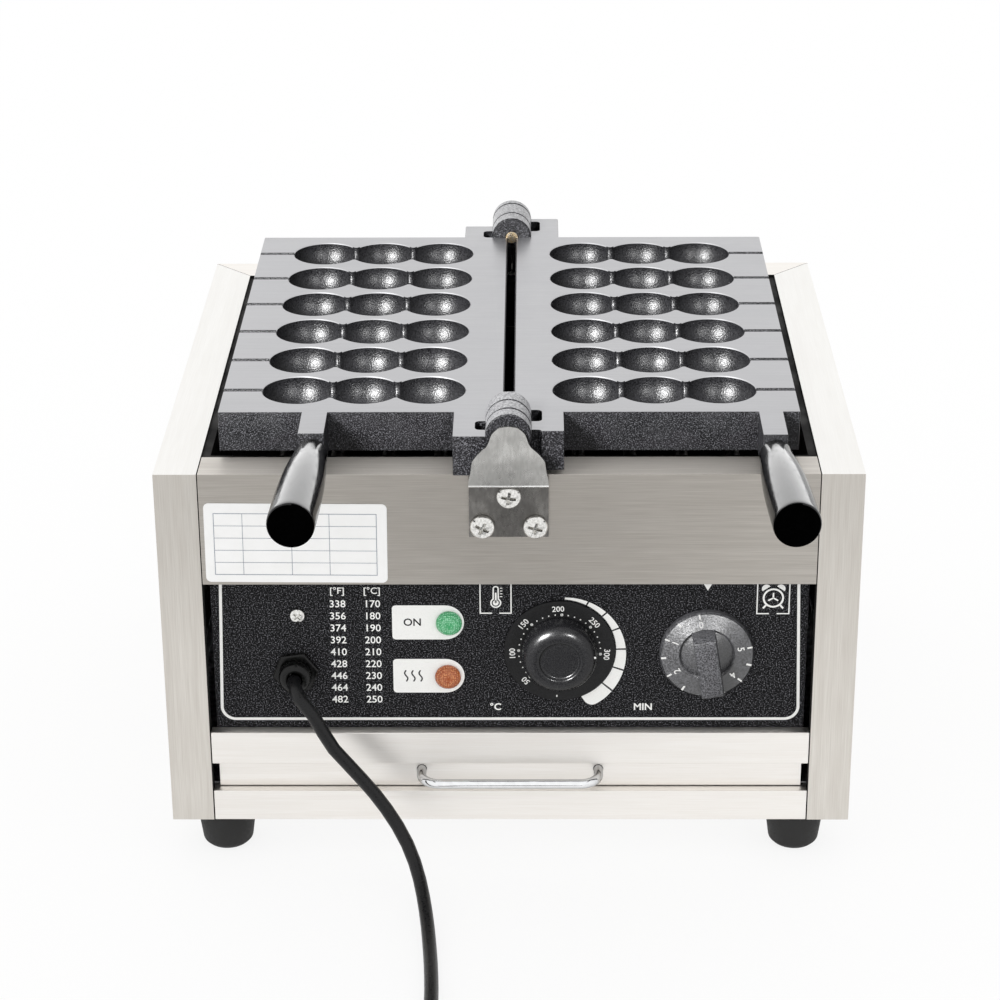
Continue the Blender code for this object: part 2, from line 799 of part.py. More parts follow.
# Heater chamber
def heat_shield():
    wide, front, back = shield_half_width, shield_front, shield_rear
    floor, top = shield_floor, case_height - sheet - fit_gap
    lip = shield_lip
    shield = mesh_object("heat_shield", boxes(((-wide, front, floor), (wide, back, top))), bright_steel)
    rim = boxes(((-wide - lip, front - lip, top - sheet), (wide + lip, back + lip, top)))
    join(shield, rim, "lip")
    inside = ((-wide + sheet, front + sheet, floor + sheet), (wide - sheet, back - sheet, top + overrun))
    cut(shield, boxes(inside), "inside")
    middle = (front + back) / 2
    slots = [
        (
            (x - drain_slot_width / 2, middle - drain_slot_length / 2, floor - overrun),
            (x + drain_slot_width / 2, middle + drain_slot_length / 2, floor + sheet + overrun),
        )
        for x in (-drain_slot_spread, 0, drain_slot_spread)
    ]
    cut(shield, boxes(*slots), "drain_slots")
    bm = bmesh.new()
    for x, z in terminal_places():
        start, end = (x, front - overrun, z), (x, front + sheet + overrun, z)
        add_cylinder(bm, start, end, element_radius + fit_gap, small_sides)
    start = (bulb_side, front - overrun, element_height)
    end = (bulb_side, front + sheet + overrun, element_height)
    add_cylinder(bm, start, end, capillary_radius + running_gap, small_sides)
    cut(shield, bm, "wall_holes")


def element_support(name, y):
    low = shield_floor + sheet + fit_gap
    rest = parting_height - plate_thickness - fit_gap
    saddle = element_height
    tab_outer = plate_reach - rest_tab_inset
    tab_inner = tab_outer - rest_tab_width
    right = [(tab_outer, low), (tab_outer, rest), (tab_inner, rest), (tab_inner, saddle)]
    outline = right + [(-x, z) for x, z in reversed(right)]
    front, back = y - support_sheet / 2, y + support_sheet / 2
    support = mesh_object(name, prism(outline, front, back, "Y"), bright_steel)
    near, far = front - overrun, back + overrun
    saddles = bmesh.new()
    for x in element_runs + [-x for x in element_runs]:
        add_cylinder(saddles, (x, near, saddle), (x, far, saddle), element_radius + fit_gap, small_sides)
    bulb = bulb_radius + fit_gap
    add_cylinder(saddles, (bulb_side, near, saddle), (bulb_side, far, saddle), bulb, small_sides)
    cut(support, saddles, "saddles")
    sill = low + support_window_rise
    windows = []
    for side in (-1, 1):
        for a, b in zip(element_runs, element_runs[1:]):
            left = side * (a + b) / 2 - support_window / 2
            windows.append(((left, near, sill), (left + support_window, far, sill + support_window)))
    cut(support, boxes(*windows), "windows")


def terminal_places():
    return [(side * x, element_height) for side in (-1, 1) for x in (element_runs[0], element_runs[-1])]


def heating_element(name, side):
    terminal = shield_front - element_terminal
    route = [(side * element_runs[0], terminal, element_height)]
    ends = (plate_rear - element_rear_inset, plate_front + element_front_inset)
    for i, (a, b) in enumerate(zip(element_runs, element_runs[1:])):
        bend = (b - a) / 2
        turn = 1 if i % 2 == 0 else -1
        for step in range(element_bend_steps + 1):
            angle = pi * step / element_bend_steps
            x = a + bend - bend * cos(angle)
            route.append((side * x, ends[i % 2] + turn * bend * sin(angle), element_height))
    route.append((side * element_runs[-1], terminal, element_height))
    tube(name, [route], element_radius, 2, element_steel)


def bezier(start, start_turn, end, end_turn, reach, count):
    a, d = Vector(start), Vector(end)
    b, c = a + Vector(start_turn) * reach, d + Vector(end_turn) * reach
    points = []
    for i in range(count):
        t = i / (count - 1)
        s = 1 - t
        points.append(a * s**3 + b * 3 * s**2 * t + c * 3 * s * t**2 + d * t**3)
    return points


def thermostat_sensor():
    x, rise = temperature_place
    top = middle_rail_top + rise + thermostat_size / 2 + fit_gap
    start = (x, panel_back + thermostat_depth * capillary_exit_share, top)
    wall = (bulb_side, shield_front - overrun, element_height)
    route = bezier(start, (0, 0, 1), wall, (0, -1, 0), capillary_reach, capillary_points)
    bulb_front = shield_front + bulb_inset
    for y in (bulb_front, bulb_front + capillary_radius, bulb_front + bulb_length):
        route.append(Vector((bulb_side, y, element_height)))
    wide = bulb_radius / capillary_radius
    widths = [1] * (len(route) - 2) + [wide, wide]
    tube("thermostat_sensor", [route], capillary_radius, 1, brass, widths=widths)


# Drawer
def drawer_tray():
    wide, front = opening_half_width - drawer_side_gap, drawer_setback
    low = (-wide, front, drawer_low)
    high = (wide, case_depth - drawer_rear_margin, drawer_high)
    shell = tray("drawer_tray", low, high, drawer_sheet, brushed_steel, drawer_slide)
    ends = []
    for x in (-handle_leg_spacing / 2, handle_leg_spacing / 2):
        ends.append(((x, front - overrun, handle_height), (x, front + drawer_sheet + overrun, handle_height)))
    cut(shell, cylinders(ends, handle_rod_radius + fit_gap, small_sides), "handle_holes")


def drawer_handle():
    leg, bend = handle_leg_spacing / 2, handle_bend_radius
    back = drawer_setback + handle_leg_inside
    bar = drawer_setback - handle_projection
    route = [(-leg, back, handle_height)]
    steps = list(range(handle_bend_steps + 1))
    for side, order in ((-1, steps), (1, reversed(steps))):
        for step in order:
            angle = pi / 2 * step / handle_bend_steps
            x = leg - bend + bend * cos(angle)
            y = bar + bend - bend * sin(angle)
            route.append((side * x, y, handle_height))
    route.append((leg, back, handle_height))
    tube("drawer_handle", [route], handle_rod_radius, 2, bright_steel, drawer_slide)


def drawer_runner(name, side):
    wall = inner_half_width
    seat = drawer_low - fit_gap
    low = seat - sheet
    outline = [
        (wall - runner_leg, low), (wall, low), (wall, low + runner_height),
        (wall - sheet, low + runner_height), (wall - sheet, seat), (wall - runner_leg, seat),
    ]
    outline = [(side * x, z) for x, z in outline]
    front = column_return + fit_gap
    back = inner_rear - sheet - fit_gap
    mesh_object(name, prism(outline, front, back, "Y"), bright_steel)


# Controls
def panel_object(name, profile, sides, finish, place, closed=False, parent=case_frame):
    location = (place[0], panel_recess, middle_rail_top + place[1]) if place else (0, 0, 0)
    obj = mesh_object(name, turned(profile, sides, closed), finish, parent, location, facing_front)
    return smooth(obj)


def temperature_control():
    hole = shaft_radius + running_gap
    low, high = fit_gap, fit_gap + dial_thickness
    dial = [(hole, low), (dial_radius, low), (dial_radius, high), (hole, high)]
    panel_object("temperature_dial", dial, fine_sides, dial_black, temperature_place, closed=True)
    bore = shaft_radius + fit_gap
    depth = knob_start + shaft_in_knob + fit_gap
    dish = knob_height - knob_dish_depth
    knob = [
        (0, depth), (bore, depth), (bore, knob_start), (knob_radius, knob_start),
        (knob_front_radius, knob_height), (knob_dish_radius, knob_height),
        (knob_dish_radius - knob_dish_slope, dish), (0, dish),
    ]
    panel_object("temperature_knob", knob, fine_sides, black_bakelite, None, parent=temperature_axis)
    control_shaft("temperature_shaft", knob_start + shaft_in_knob, temperature_axis)
    control_body("thermostat_body", temperature_place, thermostat_size, thermostat_depth, grey_plastic)


def control_shaft(name, front, axis):
    back = -sheet - fit_gap - shaft_in_body
    profile = [(0, back), (shaft_radius, back), (shaft_radius, front), (0, front)]
    panel_object(name, profile, small_sides, bright_steel, None, parent=axis)


def control_body(name, place, size, depth, finish):
    x, z = place[0], middle_rail_top + place[1]
    front = panel_back
    corners = ((x - size / 2, front, z - size / 2), (x + size / 2, front + depth, z + size / 2))
    body = mesh_object(name, boxes(corners), finish)
    ends = [((x, front - overrun, z), (x, front + shaft_in_body + fit_gap, z))]
    cut(body, cylinders(ends, shaft_radius + fit_gap, small_sides), "shaft_bore")


def timer_control():
    bore = shaft_radius + fit_gap
    start, top = fit_gap, fit_gap + timer_disc_thickness
    depth = start + shaft_in_knob + fit_gap
    centre = top - timer_recess_depth
    disc = [
        (0, start), (timer_disc_radius, start), (timer_disc_radius, top - timer_bevel),
        (timer_disc_radius - timer_bevel, top), (timer_recess_radius, top),
        (timer_recess_radius - timer_bevel, centre), (0, centre),
    ]
    knob = panel_object("timer_knob", disc, fine_sides, black_bakelite, None, parent=timer_axis)
    grip_low = start + timer_disc_thickness / 2
    half, reach = timer_grip_width / 2, timer_disc_radius - timer_grip_inset
    right = [(half * u, reach * v) for u, v in timer_grip_shares]
    grip = right + [(-x, y) for x, y in reversed(right)]
    join(knob, prism(grip, grip_low, timer_grip_height, "Z"), "grip")
    cut(knob, cylinders([((0, 0, start - overrun), (0, 0, depth))], bore, small_sides), "shaft_bore")
    control_shaft("timer_shaft", start + shaft_in_knob, timer_axis)
    control_body("timer_body", timer_place, timer_size, timer_depth, grey_plastic)


def lamp(name, place, finish):
    start = fit_gap
    spigot = -sheet - lamp_spigot
    lens = [
        (0, spigot), (lamp_spigot_radius, spigot), (lamp_spigot_radius, start), (lamp_radius, start),
        (lamp_radius, start + lamp_rim),
    ]
    for angle in (radians(30), radians(60)):
        lens.append((lamp_radius * cos(angle), start + lamp_rim + lamp_dome * sin(angle)))
    lens.append((0, start + lamp_rim + lamp_dome))
    panel_object(f"{name}_lens", lens, round_sides, finish, place)
    top = -sheet - fit_gap
    floor = spigot - fit_gap
    end = top - lamp_body_length
    spigot_bore = lamp_spigot_radius + fit_gap
    body = [
        (0, end), (lamp_body_radius, end), (lamp_body_radius, top), (spigot_bore, top),
        (spigot_bore, floor), (0, floor),
    ]
    panel_object(f"{name}_body", body, round_sides, black_plastic, place)


def panel_screw():
    end = -panel_screw_length
    shank = [(0, end), (panel_screw_radius, end), (panel_screw_radius, fit_gap)]
    profile = shank + pan_head(panel_screw_head_radius, panel_screw_head_height, fit_gap)
    panel_object("panel_screw", profile, round_sides, bright_steel, panel_screw_place)


def cable_gland():
    start = fit_gap
    body = [
        (0, -gland_barrel), (gland_barrel_radius, -gland_barrel), (gland_barrel_radius, start),
        (gland_barrel_radius, start + gland_flange), (0, start + gland_flange),
    ]
    gland = panel_object("cable_gland", body, round_sides, black_plastic, gland_place)
    wide, face = gland_flange_radius, start + gland_hexagon
    join(gland, turned([(0, start), (wide, start), (wide, face), (0, face)], 6), "hexagon")
    low = start + gland_flange + fit_gap
    cap = [(gland_cap_radius * r, low + gland_cap_length * h) for r, h in gland_cap_shares]
    panel_object("gland_cap", [(0, low), *cap], round_sides, black_plastic, gland_place)
    near = -sheet - fit_gap
    far = near - locknut_height
    bore = (gland_barrel_radius + fit_gap) / cos(pi / 6)
    nut = [(bore, far), (locknut_radius, far), (locknut_radius, near), (bore, near)]
    panel_object("gland_locknut", nut, 6, black_plastic, gland_place, closed=True)
    return panel_recess - low - gland_cap_length


def terminal_block():
    x, z = block_place[0], middle_rail_top + block_place[1]
    low = (x - block_width / 2, panel_back, z - block_height / 2)
    high = (x + block_width / 2, panel_back + block_depth, z + block_height / 2)
    mesh_object("terminal_block", boxes((low, high)), ceramic)


def wiring_loom():
    # The tied wires run from the terminal block, behind the thermostat, to the timer
    block_x, heat_x, timer_x = block_place[0], temperature_place[0], timer_place[0]
    block_z = middle_rail_top + block_place[1]
    heat_z = middle_rail_top + temperature_place[1]
    timer_z = middle_rail_top + timer_place[1]
    block_back = panel_back + block_depth
    behind = panel_back + thermostat_depth + loom_setback
    timer_back = panel_back + timer_depth
    start = Vector((block_x, block_back + fit_gap, block_z))
    end = Vector((timer_x, timer_back + fit_gap, timer_z))
    points = [
        (block_x, block_back + loom_setback, block_z),
        (heat_x - thermostat_size, behind, heat_z), (heat_x + thermostat_size / 2, behind, heat_z),
        (timer_x, timer_back + loom_setback, timer_z),
    ]
    route = [start, *smooth_route(points, loom_step), end]
    tube("wiring_loom", [route], loom_radius, 1, black_plastic)


# Cord: the free stretch's points are chosen by hand, in the case frame
def power_cord(mouth):
    lie = cord_radius + fit_gap - foot_height
    coil_x = coil_centre[0] - coil_outer_radius
    coil_y = coil_centre[1] + 2 * cord_radius + fit_gap
    gland_z = middle_rail_top + gland_place[1]
    start = Vector((gland_place[0], mouth - fit_gap, gland_z))
    points = [
        (gland_place[0], -0.0090, gland_z),
        (-0.1222, -0.0165, 0.0925),
        (-0.1172, -0.0205, 0.0870),
        (-0.1118, -0.0222, 0.0805),
        (-0.1026, -0.0235, 0.0627),
        (-0.0902, -0.0245, 0.0474),
        (-0.0781, -0.0260, 0.0324),
        (-0.0681, -0.0290, 0.0183),
        (-0.0604, -0.0345, 0.0062),
        (-0.0547, -0.0450, -0.0030),
        (-0.0505, -0.0600, -0.0105),
        (-0.0470, -0.0820, -0.0165),
        (-0.0445, -0.1080, lie),
        (-0.0428, -0.1350, lie),
        (-0.0420, -0.1650, lie),
        (coil_x, coil_y, lie),
    ]
    route = [start, *smooth_route(points, cord_step)]
    tube("power_cord", [route], cord_radius, 2, black_rubber)
    return route


def coil_route():
    # In on the first layer, up a layer in the half turn where it reverses, and out on the second
    lie = cord_radius + fit_gap - foot_height
    half_turn = 0.5
    total = coil_turns_in + half_turn + coil_turns_out
    inner = coil_outer_radius - coil_turns_in * coil_turn_pitch
    points = []
    for step in range(round(total * coil_steps) + 1):
        turn = step / coil_steps
        past = turn - coil_turns_in
        if past <= half_turn / 2:
            radius = coil_outer_radius - turn * coil_turn_pitch
        else:
            radius = inner + (past - half_turn) * coil_turn_pitch
        climb = min(max(past / half_turn, 0), 1)
        angle = pi + 2 * pi * turn
        x = coil_centre[0] + radius * cos(angle)
        y = coil_centre[1] + radius * sin(angle)
        points.append(Vector((x, y, lie + climb * coil_layer_pitch)))
    run = 2 * cord_radius
    first = points[0] + Vector((0, run, 0))
    last = points[-1] + Vector((plug_run, 0, 0))
    return [first, *points, last]


def least_gap(route):
    # The least distance between points that lie half a turn or more apart, less the cord itself
    half_turn = coil_steps // 2
    least = min((p - q).length for i, p in enumerate(route) for q in route[i + half_turn:])
    return least - 2 * cord_radius


def plug_and_coil():
    route = coil_route()
    tube("cord_coil", [route], cord_radius, 1, black_rubber)
    print(f"coil gap to itself {1000 * least_gap(route):.2f} mm")
    end = route[-1]
    plug_x = end.x + fit_gap
    axis = end.z
    plug_height = 2 * (end.z + foot_height)
    bm = bmesh.new()
    loops = []
    for along, wide, high in plug_shares:
        ring = []
        for i in range(small_sides):
            # The section is between a circle and a square
            angle = 2 * pi * (i + 0.5) / small_sides
            swell = 1 / max(abs(cos(angle)), abs(sin(angle))) ** 0.5
            y = end.y + plug_width / 2 * wide * cos(angle) * swell
            z = axis + plug_height / 2 * high * sin(angle) * swell
            ring.append(bm.verts.new((plug_x + plug_length * along, y, z)))
        loops.append(ring)
    for a, b in zip(loops, loops[1:]):
        for i in range(small_sides):
            j = (i + 1) % small_sides
            bm.faces.new((a[i], a[j], b[j], b[i]))
    bm.faces.new(loops[0])
    bm.faces.new(loops[-1])
    bmesh.ops.recalc_face_normals(bm, faces=bm.faces)
    plug = mesh_object("plug", bm, black_plastic)
    face = plug_x + plug_length
    ends = []
    for side in (-1, 1):
        y = end.y + side * plug_pin_spacing / 2
        ends.append(((face - plug_pin_length / 2, y, axis), (face + plug_pin_length, y, axis)))
    join(plug, cylinders(ends, plug_pin_radius, small_sides), "pins")
    return route


def path_length(route):
    return sum((q - p).length for p, q in zip(route, route[1:]))


# Build
side_panel("left_side_panel", -1)
side_panel("right_side_panel", 1)
rear_panel()
upper_front_panel()
control_panel()
front_rail("middle_rail", middle_rail_low, middle_rail_height, panel_recess - fit_gap, rail_return)
front_rail("bottom_rail", 0, bottom_rail_height, lip_depth, lip_depth)
base_pan()
feet()

hinge_bracket("front_hinge_bracket", (0, 0, 0), (0, 0, 0))
hinge_bracket("rear_hinge_bracket", (0, case_depth, 0), (0, 0, pi))
bracket_screws("front", 0, facing_front)
bracket_screws("rear", case_depth, facing_rear)
nut_plate("front_nut_plate", sheet + fit_gap, 1)
nut_plate("rear_nut_plate", case_depth - sheet - fit_gap, -1)
hinge_pin("front_hinge_pin", -bracket_inner_reach, front_stack[-1][2])
hinge_pin("rear_hinge_pin", rear_stack[0][1], case_depth + bracket_inner_reach)
mould_plate(
    "left_mould_plate", -1, left_hinge, front_stack[0][1] + seam, rear_stack[1][1] + left_ear_cover,
    left_boss_inner, left_boss_outer, left_boss_front,
)
mould_plate(
    "right_mould_plate", 1, right_hinge, front_stack[1][1] - right_ear_lead, rear_stack[-1][2] - seam,
    right_boss_inner, right_boss_outer, right_boss_front,
)

heat_shield()
element_support("front_element_support", shield_front + support_inset)
element_support("rear_element_support", shield_rear - support_inset)
heating_element("left_heating_element", -1)
heating_element("right_heating_element", 1)
thermostat_sensor()

drawer_tray()
drawer_handle()
drawer_runner("left_drawer_runner", -1)
drawer_runner("right_drawer_runner", 1)

temperature_control()
timer_control()
lamp("power_lamp", power_lamp_place, green_lens)
lamp("heat_lamp", heat_lamp_place, orange_lens)
panel_screw()
gland_mouth = cable_gland()
terminal_block()
wiring_loom()
free_route = power_cord(gland_mouth)
coil = plug_and_coil()
print(f"cord length {path_length(free_route) + path_length(coil):.3f} m")
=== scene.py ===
from math import asin, cos, hypot, pi, radians, sin

import bmesh
import bpy
from mathutils import Matrix, Vector


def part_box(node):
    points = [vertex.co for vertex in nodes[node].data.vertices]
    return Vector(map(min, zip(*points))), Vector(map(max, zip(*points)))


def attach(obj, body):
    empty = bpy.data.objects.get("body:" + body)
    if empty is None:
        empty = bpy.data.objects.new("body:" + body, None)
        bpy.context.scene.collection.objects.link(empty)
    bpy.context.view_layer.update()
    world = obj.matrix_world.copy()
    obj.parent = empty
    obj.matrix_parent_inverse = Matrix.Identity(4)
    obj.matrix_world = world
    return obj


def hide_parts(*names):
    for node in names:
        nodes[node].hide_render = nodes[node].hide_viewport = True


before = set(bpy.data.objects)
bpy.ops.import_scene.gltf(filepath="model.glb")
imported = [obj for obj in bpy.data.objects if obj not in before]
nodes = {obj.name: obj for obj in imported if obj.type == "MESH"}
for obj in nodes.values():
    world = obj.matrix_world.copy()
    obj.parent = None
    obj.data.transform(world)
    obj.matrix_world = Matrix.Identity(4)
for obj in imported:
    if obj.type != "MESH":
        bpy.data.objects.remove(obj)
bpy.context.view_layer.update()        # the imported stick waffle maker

scene = bpy.context.scene

# The case frame starts at the middle of the case front's lower edge
caseFront, caseDepth, footHeight = -0.134, 0.36, 0.024
partingHeight = 0.251        # the hinge axis, where shut plates meet
fitGap = 0.0003
facingFront = Matrix.Rotation(pi / 2, 4, "X")
facingRear = Matrix.Rotation(-pi / 2, 4, "X")


def casePoint(x, y, z):
    return Vector((x, caseFront + y, footHeight + z))


def placed(x, y, z, turn=facingFront):
    return Matrix.Translation(casePoint(x, y, z)) @ turn


def linear(code):
    # sRGB hex to the linear values that shaders take
    parts = [int(code[i:i + 2], 16) / 255 for i in (1, 3, 5)]
    return (*[p / 12.92 if p <= 0.04045 else ((p + 0.055) / 1.055) ** 2.4 for p in parts], 1)


def addNode(tree, kind, settings=None, inputs=None):
    node = tree.nodes.new(kind)
    for name, value in (settings or {}).items():
        setattr(node, name, value)
    for key, value in (inputs or {}).items():
        if isinstance(value, bpy.types.NodeSocket):
            tree.links.new(value, node.inputs[key])
        else:
            node.inputs[key].default_value = value
    return node


# Camera at the photograph's place, in the case frame
cameraView = {"place": (0.0119, -1.4322, 0.8444), "pitch": 23.98, "yaw": -0.673, "roll": -0.332,
              "focalPixels": 2786.7, "imagePixels": 1000, "sensor": 36}


def makeCamera():
    pitch, yaw, roll = (radians(cameraView[k]) for k in ("pitch", "yaw", "roll"))
    forward = Vector((sin(yaw) * cos(pitch), cos(yaw) * cos(pitch), -sin(pitch)))
    level = Vector((cos(yaw), -sin(yaw), 0))
    upright = level.cross(forward)
    right = level * cos(roll) + upright * sin(roll)
    up = upright * cos(roll) - level * sin(roll)
    data = bpy.data.cameras.new("camera")
    data.sensor_width = cameraView["sensor"]
    data.lens = data.sensor_width * cameraView["focalPixels"] / cameraView["imagePixels"]
    camera = bpy.data.objects.new("camera", data)
    turn = Matrix((right, up, -forward)).transposed().to_4x4()
    camera.matrix_world = Matrix.Translation(casePoint(*cameraView["place"])) @ turn
    scene.collection.objects.link(camera)
    scene.camera = camera


makeCamera()
scene.view_settings.view_transform = "Standard"


# Objects from meshes
def link(obj):
    scene.collection.objects.link(obj)
    return obj


def fromMesh(name, mesh, finishes=(), smoothAngle=0):
    if finishes:
        mesh.materials.clear()
    for finish in finishes:
        mesh.materials.append(finish)
    if smoothAngle:
        mesh.shade_smooth()
        mesh.set_sharp_from_angle(angle=radians(smoothAngle))
    return link(bpy.data.objects.new(name, mesh))


def fromBmesh(name, bm, finishes=(), smoothAngle=0):
    mesh = bpy.data.meshes.new(name)
    bm.to_mesh(mesh)
    bm.free()
    return fromMesh(name, mesh, finishes, smoothAngle)


def evaluated(obj, tools=()):
    # The object's evaluated mesh as plain data; the object and its tools go
    graph = bpy.context.evaluated_depsgraph_get()
    mesh = bpy.data.meshes.new_from_object(obj.evaluated_get(graph), depsgraph=graph)
    for used in (obj, *tools):
        bpy.data.objects.remove(used)
    return mesh


def bodyPiece(obj, body, slot, *standsFor):
    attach(obj, body)
    if standsFor:
        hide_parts(*standsFor)
    return obj


def bridge(bm, loops, capped=False, closed=False):
    # Faces between neighbouring loops, where a loop of one point is a pole; the ends are capped or meet
    sides = max(len(loop) for loop in loops)
    faces = [bm.faces.new(loops[0]), bm.faces.new(loops[-1])] if capped else []
    for a, b in zip(loops, loops[1:] + (loops[:1] if closed else [])):
        for i in range(sides):
            j = (i + 1) % sides
            corners = dict.fromkeys((a[i % len(a)], a[j % len(a)], b[j % len(b)], b[i % len(b)]))
            if len(corners) > 2:
                faces.append(bm.faces.new(list(corners)))
    bmesh.ops.recalc_face_normals(bm, faces=faces)
    return bm


def turned(profile, sides, matrix=Matrix(), closed=False, bm=None):
    # The profile's (radius, height) points turn round Z
    bm = bm or bmesh.new()
    loops = []
    for radius, height in profile:
        angles = [2 * pi * i / sides for i in range(sides if radius > 1e-7 else 1)]
        loops.append([bm.verts.new(matrix @ Vector((radius * cos(a), radius * sin(a), height))) for a in angles])
    return bridge(bm, loops, closed=closed)


def extruded(outline, low, high, bm=None, matrix=Matrix()):
    # A flat outline in XY made solid from low to high
    bm = bm or bmesh.new()
    loops = [[bm.verts.new(matrix @ Vector((x, y, z))) for x, y in outline] for z in (low, high)]
    return bridge(bm, loops, capped=True)


def addBlock(bm, low, high, matrix):
    size, middle = Vector(high) - Vector(low), (Vector(high) + Vector(low)) / 2
    bmesh.ops.create_cube(bm, size=1, matrix=matrix @ Matrix.Translation(middle) @ Matrix.Diagonal((*size, 1)))


def softened(profile, reach, steps=4):
    # Rounds each inner corner of a profile, as far as its shorter side allows
    points = [Vector(p) for p in profile]
    result = [points[0]]
    for before, corner, after in zip(points, points[1:], points[2:]):
        near = min(reach, (corner - before).length / 2.2, (after - corner).length / 2.2)
        start = corner + (before - corner).normalized() * near
        end = corner + (after - corner).normalized() * near
        for t in (i / steps for i in range(steps + 1)):
            result.append(start * (1 - t) ** 2 + corner * 2 * t * (1 - t) + end * t ** 2)
    return [tuple(p) for p in result + [points[-1]]]


def smoothPoints(points, steps):
    # A Catmull-Rom curve through the points
    knots = [Vector(p) for p in points]
    knots = [2 * knots[0] - knots[1], *knots, 2 * knots[-1] - knots[-2]]
    fine = []
    for a, b, c, d in zip(knots, knots[1:], knots[2:], knots[3:]):
        square, cube = a - 2.5 * b + 2 * c - d / 2, 1.5 * (b - c) + (d - a) / 2
        for t in (i / steps for i in range(steps)):
            fine.append(b + (c - a) / 2 * t + square * t ** 2 + cube * t ** 3)
    return fine + [knots[-2]]


def smoothProfile(points, steps, across, along):
    # The same curve through (across, along) shares of a size
    return [(across * p.x, along * p.y) for p in smoothPoints([(*p, 0) for p in points], steps)]


def evenPoints(fine, spacing):
    length = sum((q - p).length for p, q in zip(fine, fine[1:]))
    count = max(2, round(length / spacing))
    route, run, target = [fine[0]], 0.0, length / count
    for p, q in zip(fine, fine[1:]):
        step = (q - p).length
        while run + step >= target * len(route) and len(route) < count:
            route.append(p.lerp(q, (target * len(route) - run) / step))
        run += step
    return route + [fine[-1]]


def tubeCurve(name, route, radius, resolution=4):
    # Round rod along the route, with capped ends
    curve = bpy.data.curves.new(name, "CURVE")
    curve.dimensions = "3D"
    curve.bevel_depth, curve.bevel_resolution, curve.use_fill_caps = radius, resolution, True
    spline = curve.splines.new("POLY")
    spline.points.add(len(route) - 1)
    for point, place in zip(spline.points, route):
        point.co = (*place, 1)
    return link(bpy.data.objects.new(name, curve))


def quarter(middle, radius, first, last, step):
    # Points of an arc, anticlockwise from +X, in whole degrees
    angles = [radians(a) for a in range(first, last + 1, step)]
    return [(middle[0] + radius * cos(a), middle[1] + radius * sin(a)) for a in angles]


def roundedOutline(width, height, radius, steps=6):
    # A rectangle with round corners, centred on its middle
    points = []
    for cx, cy, start in ((1, 1, 0), (-1, 1, 90), (-1, -1, 180), (1, -1, 270)):
        for i in range(steps + 1):
            a = radians(start + 90 * i / steps)
            points.append((cx * (width / 2 - radius) + radius * cos(a), cy * (height / 2 - radius) + radius * sin(a)))
    return points


def booleanStep(obj, tool, operation="DIFFERENCE", solver="MANIFOLD"):
    step = obj.modifiers.new(operation.lower(), "BOOLEAN")
    step.operation, step.solver, step.object = operation, solver, tool


def bevelStep(obj, width, segments, angle):
    step = obj.modifiers.new("edges", "BEVEL")
    step.width, step.segments, step.limit_method, step.angle_limit = width, segments, "ANGLE", radians(angle)


# Geometry Nodes trees
def newTree(name, **sockets):
    tree = bpy.data.node_groups.new(name, "GeometryNodeTree")
    for socket, kind in {"Geometry": "Geometry", "Piece": "Object", "Finish": "Material", **sockets}.items():
        tree.interface.new_socket(socket, in_out="INPUT", socket_type=f"NodeSocket{kind}")
    tree.interface.new_socket("Geometry", in_out="OUTPUT", socket_type="NodeSocketGeometry")
    return tree, addNode(tree, "NodeGroupInput").outputs


def closeTree(tree, given, points, turn=(0, 0, 0)):
    # Instances the piece on the points, makes it real and gives it its finish
    piece = addNode(tree, "GeometryNodeObjectInfo", inputs={"Object": given["Piece"]})
    inputs = {"Points": points, "Instance": piece.outputs["Geometry"], "Rotation": turn}
    copies = addNode(tree, "GeometryNodeInstanceOnPoints", inputs=inputs)
    real = addNode(tree, "GeometryNodeRealizeInstances", inputs={0: copies.outputs[0]})
    inputs = {"Geometry": real.outputs[0], "Material": given["Finish"]}
    finished = addNode(tree, "GeometryNodeSetMaterial", inputs=inputs)
    addNode(tree, "NodeGroupOutput", inputs={0: finished.outputs[0]})
    return tree


def ringTree():
    # Copies of a piece round a ring, clockwise from the top
    tree, given = newTree("ringOfPieces", Count="Int", Radius="Float", First="Float", Step="Float")
    index = addNode(tree, "GeometryNodeInputIndex").outputs[0]
    inputs = {0: index, 1: given["Step"], 2: given["First"]}
    turn = addNode(tree, "ShaderNodeMath", {"operation": "MULTIPLY_ADD"}, inputs).outputs[0]
    back = addNode(tree, "ShaderNodeMath", {"operation": "MULTIPLY"}, {0: turn, 1: -1.0}).outputs[0]
    top = addNode(tree, "ShaderNodeCombineXYZ", inputs={"Y": given["Radius"]}).outputs[0]
    inputs = {"Vector": top, "Angle": back}
    place = addNode(tree, "ShaderNodeVectorRotate", {"rotation_type": "Z_AXIS"}, inputs).outputs[0]
    roll = addNode(tree, "ShaderNodeCombineXYZ", inputs={"Z": back}).outputs[0]
    points = addNode(tree, "GeometryNodePoints", inputs={"Count": given["Count"], "Position": place})
    return closeTree(tree, given, points.outputs[0], roll)


def rowTree():
    # Copies of a piece in a row along Y
    tree, given = newTree("rowOfPieces", Count="Int", Pitch="Float")
    index = addNode(tree, "GeometryNodeInputIndex").outputs[0]
    along = addNode(tree, "ShaderNodeMath", {"operation": "MULTIPLY"}, {0: index, 1: given["Pitch"]}).outputs[0]
    place = addNode(tree, "ShaderNodeCombineXYZ", inputs={"Y": along}).outputs[0]
    points = addNode(tree, "GeometryNodePoints", inputs={"Count": given["Count"], "Position": place})
    return closeTree(tree, given, points.outputs[0])


